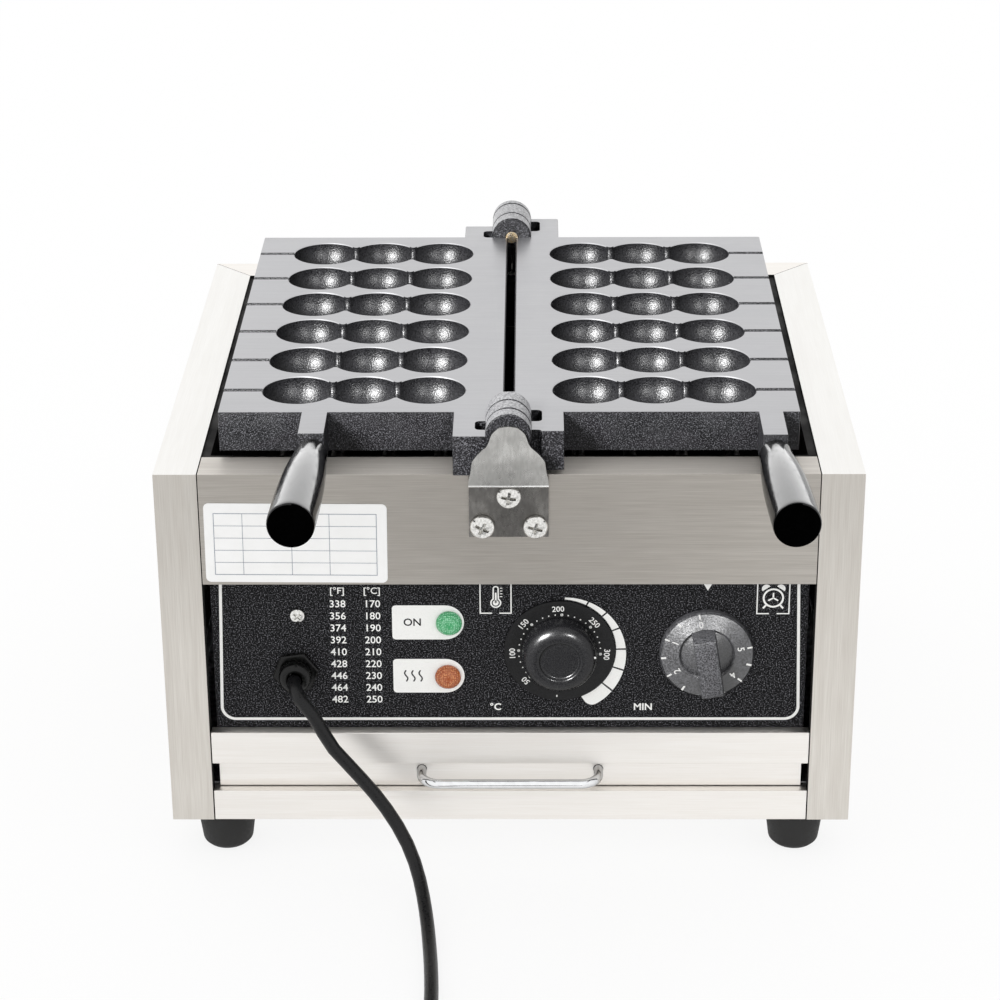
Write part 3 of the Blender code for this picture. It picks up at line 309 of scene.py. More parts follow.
def screwTree():
    # A screw on each point, its slot turned as the driver left it
    tree, given = newTree("screwsOnPoints", Seed="Int")
    inputs = {"Seed": given["Seed"], "Max": 1.57}
    chance = addNode(tree, "FunctionNodeRandomValue", {"data_type": "FLOAT"}, inputs).outputs["Value"]
    roll = addNode(tree, "ShaderNodeCombineXYZ", inputs={"Z": chance}).outputs[0]
    return closeTree(tree, given, given["Geometry"], roll)


def runTree(tree, values, points=((0, 0, 0),)):
    # Runs a tree on a mesh of loose points and returns the mesh that it makes
    mesh = bpy.data.meshes.new(tree.name)
    mesh.from_pydata([Vector(p) for p in points], [], [])
    obj = fromMesh(tree.name, mesh)
    step = obj.modifiers.new(tree.name, "NODES")
    step.node_group = tree
    for item in tree.interface.items_tree:
        if item.in_out == "INPUT" and item.name in values:
            step[item.identifier] = values[item.name]
    return evaluated(obj)


ringOfPieces, rowOfPieces, screwsOnPoints = ringTree(), rowTree(), screwTree()
print("trees ready")


# Materials
def startFinish(name, colour, roughness, metallic=0.0, gloss=0.5, coat=0.0):
    finish = bpy.data.materials.new(name)
    finish.use_nodes = True
    shader = finish.node_tree.nodes["Principled BSDF"]
    values = {"Base Color": linear(colour), "Roughness": roughness, "Metallic": metallic,
              "Specular IOR Level": gloss, "Coat Weight": coat}
    for socket, value in values.items():
        shader.inputs[socket].default_value = value
    place = addNode(finish.node_tree, "ShaderNodeTexCoord").outputs["Object"]
    return finish, finish.node_tree, shader, place


def grain(tree, place, millimetres, stretch=(1, 1, 1), detail=2.0, low=0.35, high=0.65):
    # Noise whose patches are that wide, from 0 to 1, drawn out by stretch
    inputs = {"Vector": place, "Scale": [1000 / millimetres / s for s in stretch]}
    mapped = addNode(tree, "ShaderNodeMapping", inputs=inputs)
    inputs = {"Vector": mapped.outputs[0], "Scale": 1.0, "Detail": detail}
    noise = addNode(tree, "ShaderNodeTexNoise", inputs=inputs)
    inputs = {"Value": noise.outputs[0], "From Min": low, "From Max": high}
    return addNode(tree, "ShaderNodeMapRange", inputs=inputs).outputs[0]


def blendColours(tree, amount, first, second):
    # A Mix node's colours are its sockets 6 and 7, and its output 2
    inputs = {0: amount, 6: linear(first) if isinstance(first, str) else first, 7: linear(second)}
    return addNode(tree, "ShaderNodeMix", {"data_type": "RGBA"}, inputs).outputs[2]


def between(tree, amount, low, high):
    inputs = {"Value": amount, "To Min": low, "To Max": high}
    return addNode(tree, "ShaderNodeMapRange", inputs=inputs).outputs[0]


def surface(tree, shader, colour, roughness, height, strength, millimetres):
    inputs = {"Height": height, "Strength": strength, "Distance": millimetres / 1000}
    bump = addNode(tree, "ShaderNodeBump", inputs=inputs)
    for socket, value in (("Base Color", colour), ("Roughness", roughness), ("Normal", bump.outputs[0])):
        tree.links.new(value, shader.inputs[socket])


def layered(name, base, layers, rough, bump, metallic=0.0, gloss=0.5):
    # Layers are (grain, share, colour) over the base, and a number for a grain is an edge's blend.
    # Roughness and bump each start with the layer whose grain they follow
    finish, tree, shader, place = startFinish(name, base, rough[1], metallic, gloss)
    patterns, tone = [], base
    for pattern, share, over in layers:
        if isinstance(pattern, float):
            edge = addNode(tree, "ShaderNodeLayerWeight", inputs={"Blend": pattern})
            patterns.append(edge.outputs["Facing"])
        else:
            patterns.append(grain(tree, place, *pattern))
        tone = blendColours(tree, between(tree, patterns[-1], 0.0, share), tone, over)
    surface(tree, shader, tone, between(tree, patterns[rough[0]], *rough[1:]), patterns[bump[0]], *bump[1:])
    return finish


def oneGrain(name, base, over, share, pattern, rough, bump, metallic=0.0, gloss=0.5):
    return layered(name, base, [(pattern, share, over)], (0, *rough), (0, *bump), metallic, gloss)


def worn(name, light, dark, rough, metallic=0.0, size=2.0):
    # A plain surface between two tones
    return oneGrain(name, light, dark, 1.0, (size, even, 4), (rough * 0.85, rough * 1.2), (0.1, 0.05), metallic)


def brushedSheet(name, along, light, dark, rough=(0.30, 0.37), metallic=1.0):
    # 304 stainless sheet, belt brushed: a warm grey sheen drawn out along the grain.
    # The finest grain is 0.5 mm wide, coarser than the 0.1 mm grit, to show
    stretch = tuple(60 if axis == along else 1 for axis in "XYZ")
    broad = tuple(s ** 0.9 for s in stretch)
    layers = [((0.5, stretch, 3), 0.38, dark), ((3.5, broad, 3), 0.22, dark), ((55, even, 3), 0.10, dark)]
    return layered(name, light, layers, (1, *rough), (0, 0.12, 0.02), metallic)


def mottledSteel(name, light, dark, streak=1.1, patch=7):
    # Polished stainless sheet, heat-tinted near the hinge: bright with soft upright streaks and cloudy patches
    layers = [((streak, (1, 1, 3), 4, 0.30, 0.70), 0.4, dark), ((patch, (1, 1, 1.5), 4), 0.35, dark)]
    return layered(name, light, layers, (1, 0.20, 0.38), (0, 0.15, 0.03), 1.0)


def bakelite(name, gloss, deep, scuffed):
    # Pressed phenolic resin: deep glossy black, wiped and lightly scuffed
    return oneGrain(name, deep, scuffed, 0.3, (2.4, (1, 3, 1), 4, 0.45, 0.75), (0.12, 0.26), (0.04, 0.03),
                    gloss=gloss)


def knobPlastic(name, dark, pale, rough, size=0.5, strength=0.25):
    # Moulded phenolic knob: black with the mould's fine grain and polished edges
    return oneGrain(name, dark, pale, 1.0, (size, even, 2, 0.38, 0.66), (rough, rough + 0.12), (strength, 0.05),
                    gloss=0.32)


def printedInk(name, fresh, worn):
    # Screen-printed ink: flat, with thin places
    return oneGrain(name, fresh, worn, 0.35, (0.9, even, 3, 0.50, 0.80), (0.42, 0.6), (0.05, 0.02))


def turnedDisc(name, x, z, slope):
    # Phenolic disc, turned slightly conical: the side towards a lamp lights up and the other stays dark
    finish, tree, shader, place = startFinish(name, "#1C1C1D", 0.32, gloss=1.0)
    inputs = {"Vector": place, "Location": (-x, 0, -z), "Scale": (1, 0, 1)}
    centred = addNode(tree, "ShaderNodeMapping", inputs=inputs).outputs[0]
    away = addNode(tree, "ShaderNodeVectorMath", {"operation": "LENGTH"}, {0: centred}).outputs["Value"]
    grit = grain(tree, place, 0.7, even, 2, 0.38, 0.66)
    inputs = {0: away, 1: -slope, 2: between(tree, grit, 0.0, 0.00003)}
    cone = addNode(tree, "ShaderNodeMath", {"operation": "MULTIPLY_ADD"}, inputs).outputs[0]
    tone = blendColours(tree, grit, "#0A0A0B", "#2E2E30")
    surface(tree, shader, tone, between(tree, grit, 0.28, 0.40), cone, 1.0, 1000)
    return finish


def lampLens(name, deep, bright):
    # Moulded acrylic lens with a pattern of small bumped domes inside, each dome's middle painted lighter
    # as a painted glint
    finish, tree, shader, place = startFinish(name, bright, 0.12, coat=0.5)
    mapped = addNode(tree, "ShaderNodeMapping", inputs={"Vector": place, "Scale": (1000, 1000, 1000)})
    inputs = {"Vector": mapped.outputs[0], "Scale": 0.95, "Randomness": 0.35}
    cells = addNode(tree, "ShaderNodeTexVoronoi", {"feature": "F1"}, inputs)
    inputs = {"Value": cells.outputs["Distance"], "From Min": 0.15, "From Max": 0.55}
    dome = addNode(tree, "ShaderNodeMapRange", inputs=inputs).outputs[0]
    # Lighter in each dome's middle: a painted glint
    tone = blendColours(tree, dome, bright, deep)
    surface(tree, shader, tone, between(tree, dome, 0.08, 0.2), between(tree, dome, 1.0, 0.0), 0.8, 0.35)
    return finish


even = (1, 1, 1)
steelUpright = brushedSheet("steelBrushedUpright", "Z", "#E6E2DB", "#C4BDB4")
# Rails, drawer and the rear panel's top flange: a paler, rougher copy of the case's steel, as painted light
steelAcrossPaintedLight = brushedSheet("steelBrushedAcross", "X", "#FFFCF8", "#F2EDE6", (0.38, 0.46))
# The upper panel's front: a darker copy of the case's steel, painted shade for its darker reflection
steelFrontPaintedShade = brushedSheet("steelBrushedFront", "X", "#CCC7C0", "#9F9991", (0.34, 0.42))
# The upper panel's top flange: a paler half-metal copy, as painted light where it faces the plates' dark fronts
steelFoldPaintedLight = brushedSheet("steelBrushedFold", "X", "#E8E3DC", "#C2BCB4", (0.45, 0.55), 0.5)
# The side panels' top flanges and the base pan: a near-white copy, as painted light
steelDeepPaintedLight = brushedSheet("steelBrushedDeep", "Y", "#FCFBF8", "#F0EEEA")
# The case's inside: the same sheet painted near black, as painted shade inside the case
steelInside = worn("steelInside", "#1C1A19", "#0E0D0C", 0.75, 0.0, 12)
bracketSteel = mottledSteel("bracketSteel", "#C8C7C4", "#979693")
# The bracket's flange under its shelf: a darker copy, as painted shade
flangeSteel = mottledSteel("flangeSteel", "#84827F", "#4A4846", 1.6, 5)
# The bracket's front bend: a white copy, as a painted highlight along it
bendSteel = mottledSteel("bendSteel", "#FFFFFF", "#E6E4E0")
# Nickel-plated steel: hard bright glints with faint rubbing marks
screwSteel = oneGrain("platedScrew", "#F0EFEC", "#A9A7A2", 0.4, (1.2, even, 4), (0.08, 0.26), (0.06, 0.02), 1.0)
# Chrome on round steel rod: near mirror with a little haze, its colour darkened where the rod turns away
# as a painted reflection of dark surroundings
wireChromePaintedReflection = layered("chromedWire", "#FAFBFC", [((4, even, 4), 0.15, "#C4C6C8"), (0.42, 1.0, "#2E2E30")],
                     (0, 0.03, 0.10), (0, 0.03, 0.01), 1.0)
# Sand-cast aluminium under baked non-stick coating: near black and gritty; its pale specks are painted glints
castingAndGlintLayers = [((0.7, even, 3, 0.40, 0.62), 1.0, "#080809"), ((0.65, even, 2, 0.52, 0.68), 0.36, "#626266"),
                 ((14, even, 4), 0.15, "#242426")]
castingAndGlints = layered("coatedCasting", "#020203", castingAndGlintLayers, (2, 0.30, 0.42), (0, 0.5, 0.15), gloss=0.14)
# The same coating on turned pockets: smoother, a soft gloss that breaks into fine grain
pocketCoat = oneGrain("coatedPocket", "#040405", "#161618", 1.0, (0.9, even, 2, 0.36, 0.66), (0.27, 0.37),
                      (1.0, 0.07), gloss=0.25)
# The plates' meeting faces and eased top edges: the black coating given a pale grey satin metal copy,
# a painted reflection of the bright room, with faint lines
paintedReflectionLayers = [((0.8, (40, 1, 1), 3), 0.30, "#A8A8AA"), ((38, even, 4), 0.30, "#ABABAE")]
paintedPlateReflection = layered("groundFace", "#BEBEC0", paintedReflectionLayers, (1, 0.30, 0.38), (0, 0.08, 0.02), 1.0)
# Orange-peel enamel on the control panel: black, with fine pale specks that are painted glints on its grain
enamelAndGlintLayers = [((1.1, even, 2, 0.38, 0.66), 1.0, "#111113"), ((0.75, even, 2, 0.53, 0.68), 0.66, "#94949A")]
enamelAndGlints = layered("panelEnamel", "#040405", enamelAndGlintLayers, (0, 0.5, 0.65), (0, 0.12, 0.10), gloss=0.12)
handleBlack = bakelite("bakelite", 0.32, "#060607", "#1B1B1D")
gripEndPaintedShade = bakelite("bakeliteEnd", 0.0, "#020202", "#070708")        # the front end: a darker copy without gloss, as painted shade
knobBlack = knobPlastic("knobPhenolic", "#060607", "#101011", 0.20, 0.6, 0.06)
dialBlack = knobPlastic("dialPhenolic", "#0A0A0B", "#1E1E20", 0.36)
timerBlack = knobPlastic("timerPhenolic", "#101011", "#38383A", 0.30, 0.7, 0.3)
ink = printedInk("whiteInk", "#FFFFFC", "#E4E4E1")
gridInk = printedInk("greyInk", "#8C93A0", "#B9BDC4")
# White printed polyester label: smooth, slightly glossy
label = oneGrain("labelFilm", "#FEFEFD", "#F2F2F0", 0.3, (12, even, 2), (0.3, 0.42), (0.03, 0.05))
# Black rubber feet: dull, with dust in the moulded skin
rubber = oneGrain("mouldedRubber", "#141414", "#2A2928", 0.7, (1.6, even, 4), (0.58, 0.78), (0.15, 0.08))
# Extruded rubber-like PVC sheath: smooth black with a soft gloss along its length
sheath = oneGrain("cordSheath", "#08080A", "#18181A", 0.6, (1.3, even, 4), (0.26, 0.42), (0.08, 0.05), gloss=0.35)
# Moulded black nylon: glossy with a fine flow texture
nylon = oneGrain("glossNylon", "#090909", "#1C1C1B", 0.5, (1.8, even, 3), (0.14, 0.32), (0.08, 0.05), gloss=0.3)
greenLens = lampLens("greenAcrylic", "#3AA566", "#B0FBCE")
orangeLens = lampLens("orangeAcrylic", "#A4480F", "#F4A468")
# Aluminised sheet painted near black as painted shade in the case, zinc-plated steel, heat-tinted tube,
# turned brass, pale metal painted on the hinge rings' upper halves as a painted highlight, grey moulded
# housings and off-white steatite
shieldPaintedShade = worn("aluminisedSheet", "#1F1D1B", "#100F0E", 0.7, 0.2, 18)
pressedSteel = worn("zincPlatedSteel", "#C4C6C8", "#9A9C9E", 0.34, 0.95, 5)
tubeSteel = worn("heatTintedTube", "#5C5650", "#38322E", 0.42, 0.85, 4)
brass = worn("turnedBrass", "#FFF1DA", "#D9BD8C", 0.30, 0.8, 1.6)
wornRing = worn("wornRing", "#B4B4B6", "#6A6A6C", 0.36, 0.85, 1.1)
housing = worn("greyHousing", "#8E8E8C", "#7A7A78", 0.5, 0.0, 3)
ceramic = worn("steatiteCeramic", "#E6E1D4", "#D2CBBB", 0.45)
print("materials ready")


# Power cord: straight out of the gland, down the front, and along the table to its coil and plug
cord = {"radius": 0.004, "spacing": 0.012, "coilCentre": (0.006, -0.240), "coilRadius": 0.048, "turnPitch": 0.009,
        "layerPitch": 0.0087, "turnsIn": 2, "halfTurn": 0.5, "turnsOut": 1.75, "turnSteps": 24, "plugRun": 0.046}
lie = cord["radius"] + fitGap - footHeight
cordStart = (-0.1243, -0.0045, 0.0950)
cordRoute = [
    (-0.1243, -0.0090, 0.0950), (-0.1222, -0.0165, 0.0925), (-0.1172, -0.0205, 0.0870),
    (-0.1118, -0.0222, 0.0805), (-0.1026, -0.0235, 0.0627), (-0.0902, -0.0245, 0.0474),
    (-0.0781, -0.0260, 0.0324), (-0.0681, -0.0290, 0.0183), (-0.0604, -0.0345, 0.0062),
    (-0.0547, -0.0450, -0.0030), (-0.0505, -0.0600, -0.0105), (-0.0470, -0.0820, -0.0165),
    (-0.0445, -0.1080, lie), (-0.0428, -0.1350, lie), (-0.0420, -0.1650, lie), (-0.0420, -0.2317, lie),
]
# The plug's shape: shares of its length, width and height
plug = {"length": 0.040, "width": 0.0296, "height": 0.0256, "sides": 40, "pinRadius": 0.0024, "pinLength": 0.021,
        "pinInset": 0.002, "pinSpacing": 0.019, "shape": [(0.0, 0.40, 0.46), (0.30, 0.46, 0.50), (0.45, 0.80, 0.90),
                                                          (0.66, 0.985, 0.985), (1.0, 0.97, 0.97)]}


def coilPoints():
    # In on the first layer, up a layer in the half turn where it reverses, and out on the second
    inner = cord["coilRadius"] - cord["turnsIn"] * cord["turnPitch"]
    total = cord["turnsIn"] + cord["halfTurn"] + cord["turnsOut"]
    points = []
    for turn in (step / cord["turnSteps"] for step in range(round(total * cord["turnSteps"]) + 1)):
        past = turn - cord["turnsIn"]
        radius = inner + (past - cord["halfTurn"]) * cord["turnPitch"]
        if past <= cord["halfTurn"] / 2:
            radius = cord["coilRadius"] - turn * cord["turnPitch"]
        climb = min(max(past / cord["halfTurn"], 0), 1)
        angle = pi + 2 * pi * turn
        x, y = cord["coilCentre"]
        points.append(Vector((x + radius * cos(angle), y + radius * sin(angle), lie + climb * cord["layerPitch"])))
    return points


def makeCord():
    free = evenPoints(smoothPoints(cordRoute, 30), cord["spacing"])
    coil = coilPoints()
    end = coil[-1] + Vector((cord["plugRun"], 0, 0))
    route = [casePoint(*p) for p in (cordStart, *free, *coil[1:], coil[-1].lerp(end, 0.5), end)]
    lead = tubeCurve("powerLead", route, cord["radius"])
    lead.data.materials.append(sheath)
    return lead, route, sum((q - p).length for p, q in zip(route, route[1:]))


def makePlug(end):
    # Two-pin plug with a ribbed sleeve where the cord goes in
    start, bm, loops = end.x + fitGap, bmesh.new(), []
    for along, wide, high in smoothPoints(plug["shape"], 10):
        rib = 0.94 if 0.03 < along < 0.30 and int(along * 60) % 2 else 1.0
        ring = []
        for a in (2 * pi * i / plug["sides"] for i in range(plug["sides"])):
            swell = 1 / max(abs(cos(a)), abs(sin(a))) ** 0.5
            y = plug["width"] / 2 * wide * rib * cos(a) * swell
            z = min(1.0, high * swell) * rib * plug["height"] / 2 * sin(a)
            ring.append(bm.verts.new((start + plug["length"] * along, end.y + y, end.z + z)))
        loops.append(ring)
    body = fromBmesh("plugBody", bridge(bm, loops, capped=True), [nylon], 50)
    pins, r, tip = bmesh.new(), plug["pinRadius"], plug["pinLength"]
    profile = [(0, 0), (r, 0), (r, tip * 0.86), (r * 0.86, tip * 0.95), (r * 0.5, tip), (0, tip)]
    for side in (-1, 1):
        place = (start + plug["length"] - plug["pinInset"], end.y + side * plug["pinSpacing"] / 2, end.z)
        turned(profile, 24, Matrix.Translation(place) @ Matrix.Rotation(pi / 2, 4, "Y"), bm=pins)
    contacts = fromBmesh("plugPins", pins, [screwSteel], 35)
    return bodyPiece(body, "case", "black_plastic", "plug"), bodyPiece(contacts, "case", "black_plastic")


def makeTie():
    # A releasable tie round the coil, on the side towards the machine
    wide, high, half, thick, angle = 0.0275, 0.0168, 0.0022, 0.0008, radians(62)
    middle = cord["coilRadius"] - cord["turnsIn"] * cord["turnPitch"] / 2
    place = casePoint(*cord["coilCentre"], 0) + Vector((middle * cos(angle), middle * sin(angle), 0))
    place.z = high / 2 + 0.0001
    turn = Matrix.Translation(place) @ Matrix.Rotation(angle, 4, "Z") @ facingFront
    outline = roundedOutline(wide, high, 0.005, 5)
    inside = roundedOutline(wide - 2 * thick, high - 2 * thick, 0.0043, 5)
    bm = bmesh.new()
    loops = [[bm.verts.new(turn @ Vector((*p, z))) for p in points]
             for points, z in ((outline, -half), (outline, half), (inside, half), (inside, -half))]
    bridge(bm, loops, closed=True)
    addBlock(bm, (-0.004, high / 2 - 0.0006, -0.0032), (0.003, high / 2 + 0.0022, 0.0032), turn)
    bodyPiece(fromBmesh("coilTie", bm, [nylon], 40), "case", "black_plastic")


lead, leadRoute, leadLength = makeCord()
bodyPiece(lead, "case", "cord_rubber", "power_cord", "cord_coil")
plugBody, plugPins = makePlug(leadRoute[-1])
makeTie()
print(f"cord ready, {leadLength:.3f} m")


# Floor, world and lamps
def seenRays(tree):
    # 1 for rays from the camera, from a glossy surface or through a clear one, else 0
    rays = addNode(tree, "ShaderNodeLightPath").outputs
    inputs = {0: rays["Is Camera Ray"], 1: rays["Is Glossy Ray"]}
    first = addNode(tree, "ShaderNodeMath", {"operation": "MAXIMUM"}, inputs)
    inputs = {0: first.outputs[0], 1: rays["Is Transmission Ray"]}
    return addNode(tree, "ShaderNodeMath", {"operation": "MAXIMUM"}, inputs).outputs[0]


def makeFloor():
    # Pale sweep: white where it is lit, and it keeps the object's shadow
    bm = bmesh.new()
    bmesh.ops.create_grid(bm, x_segments=1, y_segments=1, size=6, matrix=Matrix.Translation((0, 0, -0.0002)))
    finish, tree, shader, _ = startFinish("paleSweep", "#FFFFFF", 0.9)
    share = addNode(tree, "ShaderNodeMath", {"operation": "MULTIPLY"}, {0: seenRays(tree), 1: 0.85})
    glow = addNode(tree, "ShaderNodeEmission", inputs={"Color": (1, 1, 1, 1), "Strength": 1.0})
    inputs = {0: share.outputs[0], 1: shader.outputs[0], 2: glow.outputs[0]}
    mix = addNode(tree, "ShaderNodeMixShader", inputs=inputs)
    tree.links.new(mix.outputs[0], tree.nodes["Material Output"].inputs["Surface"])
    fromBmesh("paleSweep", bm, [finish])


def makeWorld():
    # The room's light and the white that the camera sees
    scene.world = bpy.data.worlds.new("studio")
    scene.world.use_nodes = True
    tree = scene.world.node_tree
    values = {"Color": (1, 1, 1, 1), "Strength": 1.0}
    room = addNode(tree, "ShaderNodeBackground", inputs=values)
    white = addNode(tree, "ShaderNodeBackground", inputs=values)
    inputs = {0: seenRays(tree), 1: room.outputs[0], 2: white.outputs[0]}
    mix = addNode(tree, "ShaderNodeMixShader", inputs=inputs)
    output = next(n for n in tree.nodes if n.type == "OUTPUT_WORLD")
    tree.links.new(mix.outputs[0], output.inputs["Surface"])


def makeCard():
    # A grey card on the floor in front, which only reflections see, darkest near its middle
    bm = bmesh.new()
    corners = ((-0.60, -0.82), (0.60, -0.82), (0.60, -0.55), (-0.60, -0.55))
    bm.faces.new([bm.verts.new((x, y, 0.0004)) for x, y in corners])
    card, tree, _, place = startFinish("panelCard", "#000000", 1.0)
    apart = addNode(tree, "ShaderNodeSeparateXYZ", inputs={0: place})
    offset = addNode(tree, "ShaderNodeMath", {"operation": "ADD"}, {0: apart.outputs[0], 1: 0.03})
    across = addNode(tree, "ShaderNodeMath", {"operation": "ABSOLUTE"}, {0: offset.outputs[0]})
    inputs = {"Value": across.outputs[0], "From Min": 0.03, "From Max": 0.22, "To Min": 0.06, "To Max": 0.62}
    grey = addNode(tree, "ShaderNodeMapRange", {"interpolation_type": "SMOOTHSTEP"}, inputs)
    glow = addNode(tree, "ShaderNodeEmission", inputs={"Color": (1, 1, 1, 1), "Strength": grey.outputs[0]})
    tree.links.new(glow.outputs[0], tree.nodes["Material Output"].inputs["Surface"])
    obj = fromBmesh("panelCard", bm, [card])
    obj.visible_camera = obj.visible_diffuse = obj.visible_shadow = False


# Each lamp: place, the point it faces, width, height, its brightness per area and the pieces that it lights
lamps = {
    "rearCard": ((0.0, 1.8, 1.25), (0.0, 0.0, 0.25), 3.4, 1.9, 3.0, "glossy"),
    "keySoftbox": ((-1.30, -1.75, 1.40), (0.0, 0.05, 0.25), 0.56, 0.56, 350.0, "black"),
    "fillSoftbox": ((0.86, -1.92, 1.28), (0.0, 0.05, 0.25), 0.30, 0.30, 160.0, "black"),
}
# The black pieces take lamps of their own, so that the steel keeps the room's even sheen
lampGroups = {
    "glossy": ["leftGrip", "rightGrip", "temperatureGrip"],
    "black": ["leftPlate", "rightPlate", "temperatureGrip", "timerDisc", "timerGrip"],
}


def makeLamps():
    for name, (place, target, width, height, glow, _) in lamps.items():
        data = bpy.data.lights.new(name, "AREA")
        data.shape, data.size, data.size_y = "RECTANGLE", width, height
        data.energy = glow * pi * width * height
        lamp = link(bpy.data.objects.new(name, data))
        aim = (Vector(target) - Vector(place)).to_track_quat("-Z", "Y")
        lamp.matrix_world = Matrix.Translation(place) @ aim.to_matrix().to_4x4()
        lamp.visible_camera = False


def aimLamps():
    for group, names in lampGroups.items():
        receivers = bpy.data.collections.new(group)
        for name in names:
            receivers.objects.link(scene.objects[name])
        for name, values in lamps.items():
            if values[-1] == group:
                scene.objects[name].light_linking.receiver_collection = receivers


makeFloor()
makeWorld()
makeCard()
makeLamps()
print("stage ready")


# Sheet metal: each CAD sheet with its edges eased and its flat faces clean
def eased(node, name, finishes, width, angle=30, chooser=None):
    bm = bmesh.new()
    bm.from_mesh(nodes[node].data)
    bmesh.ops.remove_doubles(bm, verts=bm.verts, dist=2e-6)
    bmesh.ops.dissolve_limit(bm, angle_limit=radians(0.5), verts=bm.verts, edges=bm.edges)
    obj = fromBmesh(name, bm, finishes, 0 if width else angle)
    if width:
        obj.data.shade_smooth()
        bevelStep(obj, width, 2, angle)
        flatten = obj.modifiers.new("flatten", "WEIGHTED_NORMAL")
        flatten.weight, flatten.keep_sharp = 100, True
        obj = fromMesh(name, evaluated(obj))
    for face in obj.data.polygons if chooser else ():
        face.material_index = chooser(face)
    return obj


def byFacing(face):
    # First finish on fronts and sides; second on the top flanges, a paler copy that is painted light;
    # third on what faces into the case, a dark copy that is painted shade
    centre, normal = face.center, face.normal
    inward = abs(normal.x) > 0.7 and normal.x * centre.x < 0 and abs(centre.x) > 0.17
    inward = inward or normal.z < -0.7 or (normal.y > 0.7 and centre.y < 0) or (normal.y < -0.7 and centre.y > 0)
    if inward and centre.z > 0.04:
        return 2
    return 1 if normal.z > 0.7 else 0


sheets = {
    # node: name, finishes, body, bend or edge width
    "left_side_panel": ("leftSidePanel", (steelUpright, steelDeepPaintedLight, steelInside), "case", 0.0007),
    "right_side_panel": ("rightSidePanel", (steelUpright, steelDeepPaintedLight, steelInside), "case", 0.0007),
    "rear_panel": ("rearPanel", (steelUpright, steelAcrossPaintedLight, steelInside), "case", 0.0006),
    "upper_front_panel": ("upperFrontPanel", (steelFrontPaintedShade, steelFoldPaintedLight, steelInside), "case", 0.0007),
    "middle_rail": ("middleRail", (steelAcrossPaintedLight,), "case", 0.0006),
    "bottom_rail": ("bottomRail", (steelAcrossPaintedLight,), "case", 0.0006),
    "base_pan": ("basePan", (steelDeepPaintedLight,), "case", 0.0004),
    "drawer_tray": ("drawerTray", (steelAcrossPaintedLight,), "drawer", 0.0004),
    "control_panel": ("controlPanel", (enamelAndGlints,), "case", 0.0003),
}
for node, (name, finishes, body, width) in sheets.items():
    piece = eased(node, name, finishes, width, chooser=byFacing if len(finishes) > 1 else None)
    bodyPiece(piece, body, "black_panel" if node == "control_panel" else "brushed_steel", node)
print("sheets ready")


# Pieces that keep their CAD shape, with clean smooth faces
carried = {
    # node: name, finish, slot, body, edge width
    "heat_shield": ("heatShield", shieldPaintedShade, "bright_steel", "case", 0.0004),
    "front_element_support": ("frontSupport", shieldPaintedShade, "bright_steel", "case", 0.0003),
    "rear_element_support": ("rearSupport", shieldPaintedShade, "bright_steel", "case", 0.0003),
    "front_nut_plate": ("frontNutPlate", pressedSteel, "bright_steel", "case", 0.0003),
    "rear_nut_plate": ("rearNutPlate", pressedSteel, "bright_steel", "case", 0.0003),
    "left_drawer_runner": ("leftRunner", pressedSteel, "bright_steel", "case", 0.0003),
    "right_drawer_runner": ("rightRunner", pressedSteel, "bright_steel", "case", 0.0003),
    "front_hinge_pin": ("frontPin", brass, "brass", "case", 0.0004),
    "rear_hinge_pin": ("rearPin", brass, "brass", "case", 0.0004),
    "left_handle_stud": ("leftStud", pressedSteel, "bright_steel", "left_plate", 0),
    "right_handle_stud": ("rightStud", pressedSteel, "bright_steel", "right_plate", 0),
    "temperature_shaft": ("temperatureSpindle", pressedSteel, "bright_steel", "temperature_control", 0),
    "timer_shaft": ("timerSpindle", pressedSteel, "bright_steel", "timer_control", 0),
    "thermostat_body": ("thermostatHousing", housing, "grey_plastic", "case", 0.0008),
    "timer_body": ("timerHousing", housing, "grey_plastic", "case", 0.0008),
    "power_lamp_body": ("powerLampBody", nylon, "black_plastic", "case", 0.0003),
    "heat_lamp_body": ("heatLampBody", nylon, "black_plastic", "case", 0.0003),
    "gland_locknut": ("glandNut", nylon, "black_plastic", "case", 0.0004),
    "terminal_block": ("terminalBlock", ceramic, "ceramic", "case", 0.001),
    "wiring_loom": ("wiringLoom", nylon, "black_plastic", "case", 0),
    "thermostat_sensor": ("thermostatBulb", brass, "brass", "case", 0),
}
for node, (name, finish, slot, body, width) in carried.items():
    bodyPiece(eased(node, name, [finish], width, angle=40), body, slot, node)
pinHead = [(0, 0), (0.0036, 0), (0.0039, 0.0003), (0.0039, 0.0010), (0.0036, 0.0013), (0, 0.0013)]
bm = turned(pinHead, 40, placed(0, 0.3303, partingHeight, facingRear))
bodyPiece(fromBmesh("rearPinHead", bm, [brass], 35), "case", "brass")
print("inner pieces ready")


# Heating elements: bent tubes in grooves of ceramic bushes
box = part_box("left_heating_element")
heater = {"radius": 0.00397, "height": (box[0][2] + box[1][2]) / 2 - footHeight, "steps": 16,
          "runs": (0.040, 0.070, 0.100, 0.130), "ends": (box[1][1] - caseFront - 0.019, 0.058), "terminal": 0.018,
          "bore": 0.0042, "bushRadius": 0.0065, "bushLength": 0.010, "bushPlace": 0.0296}


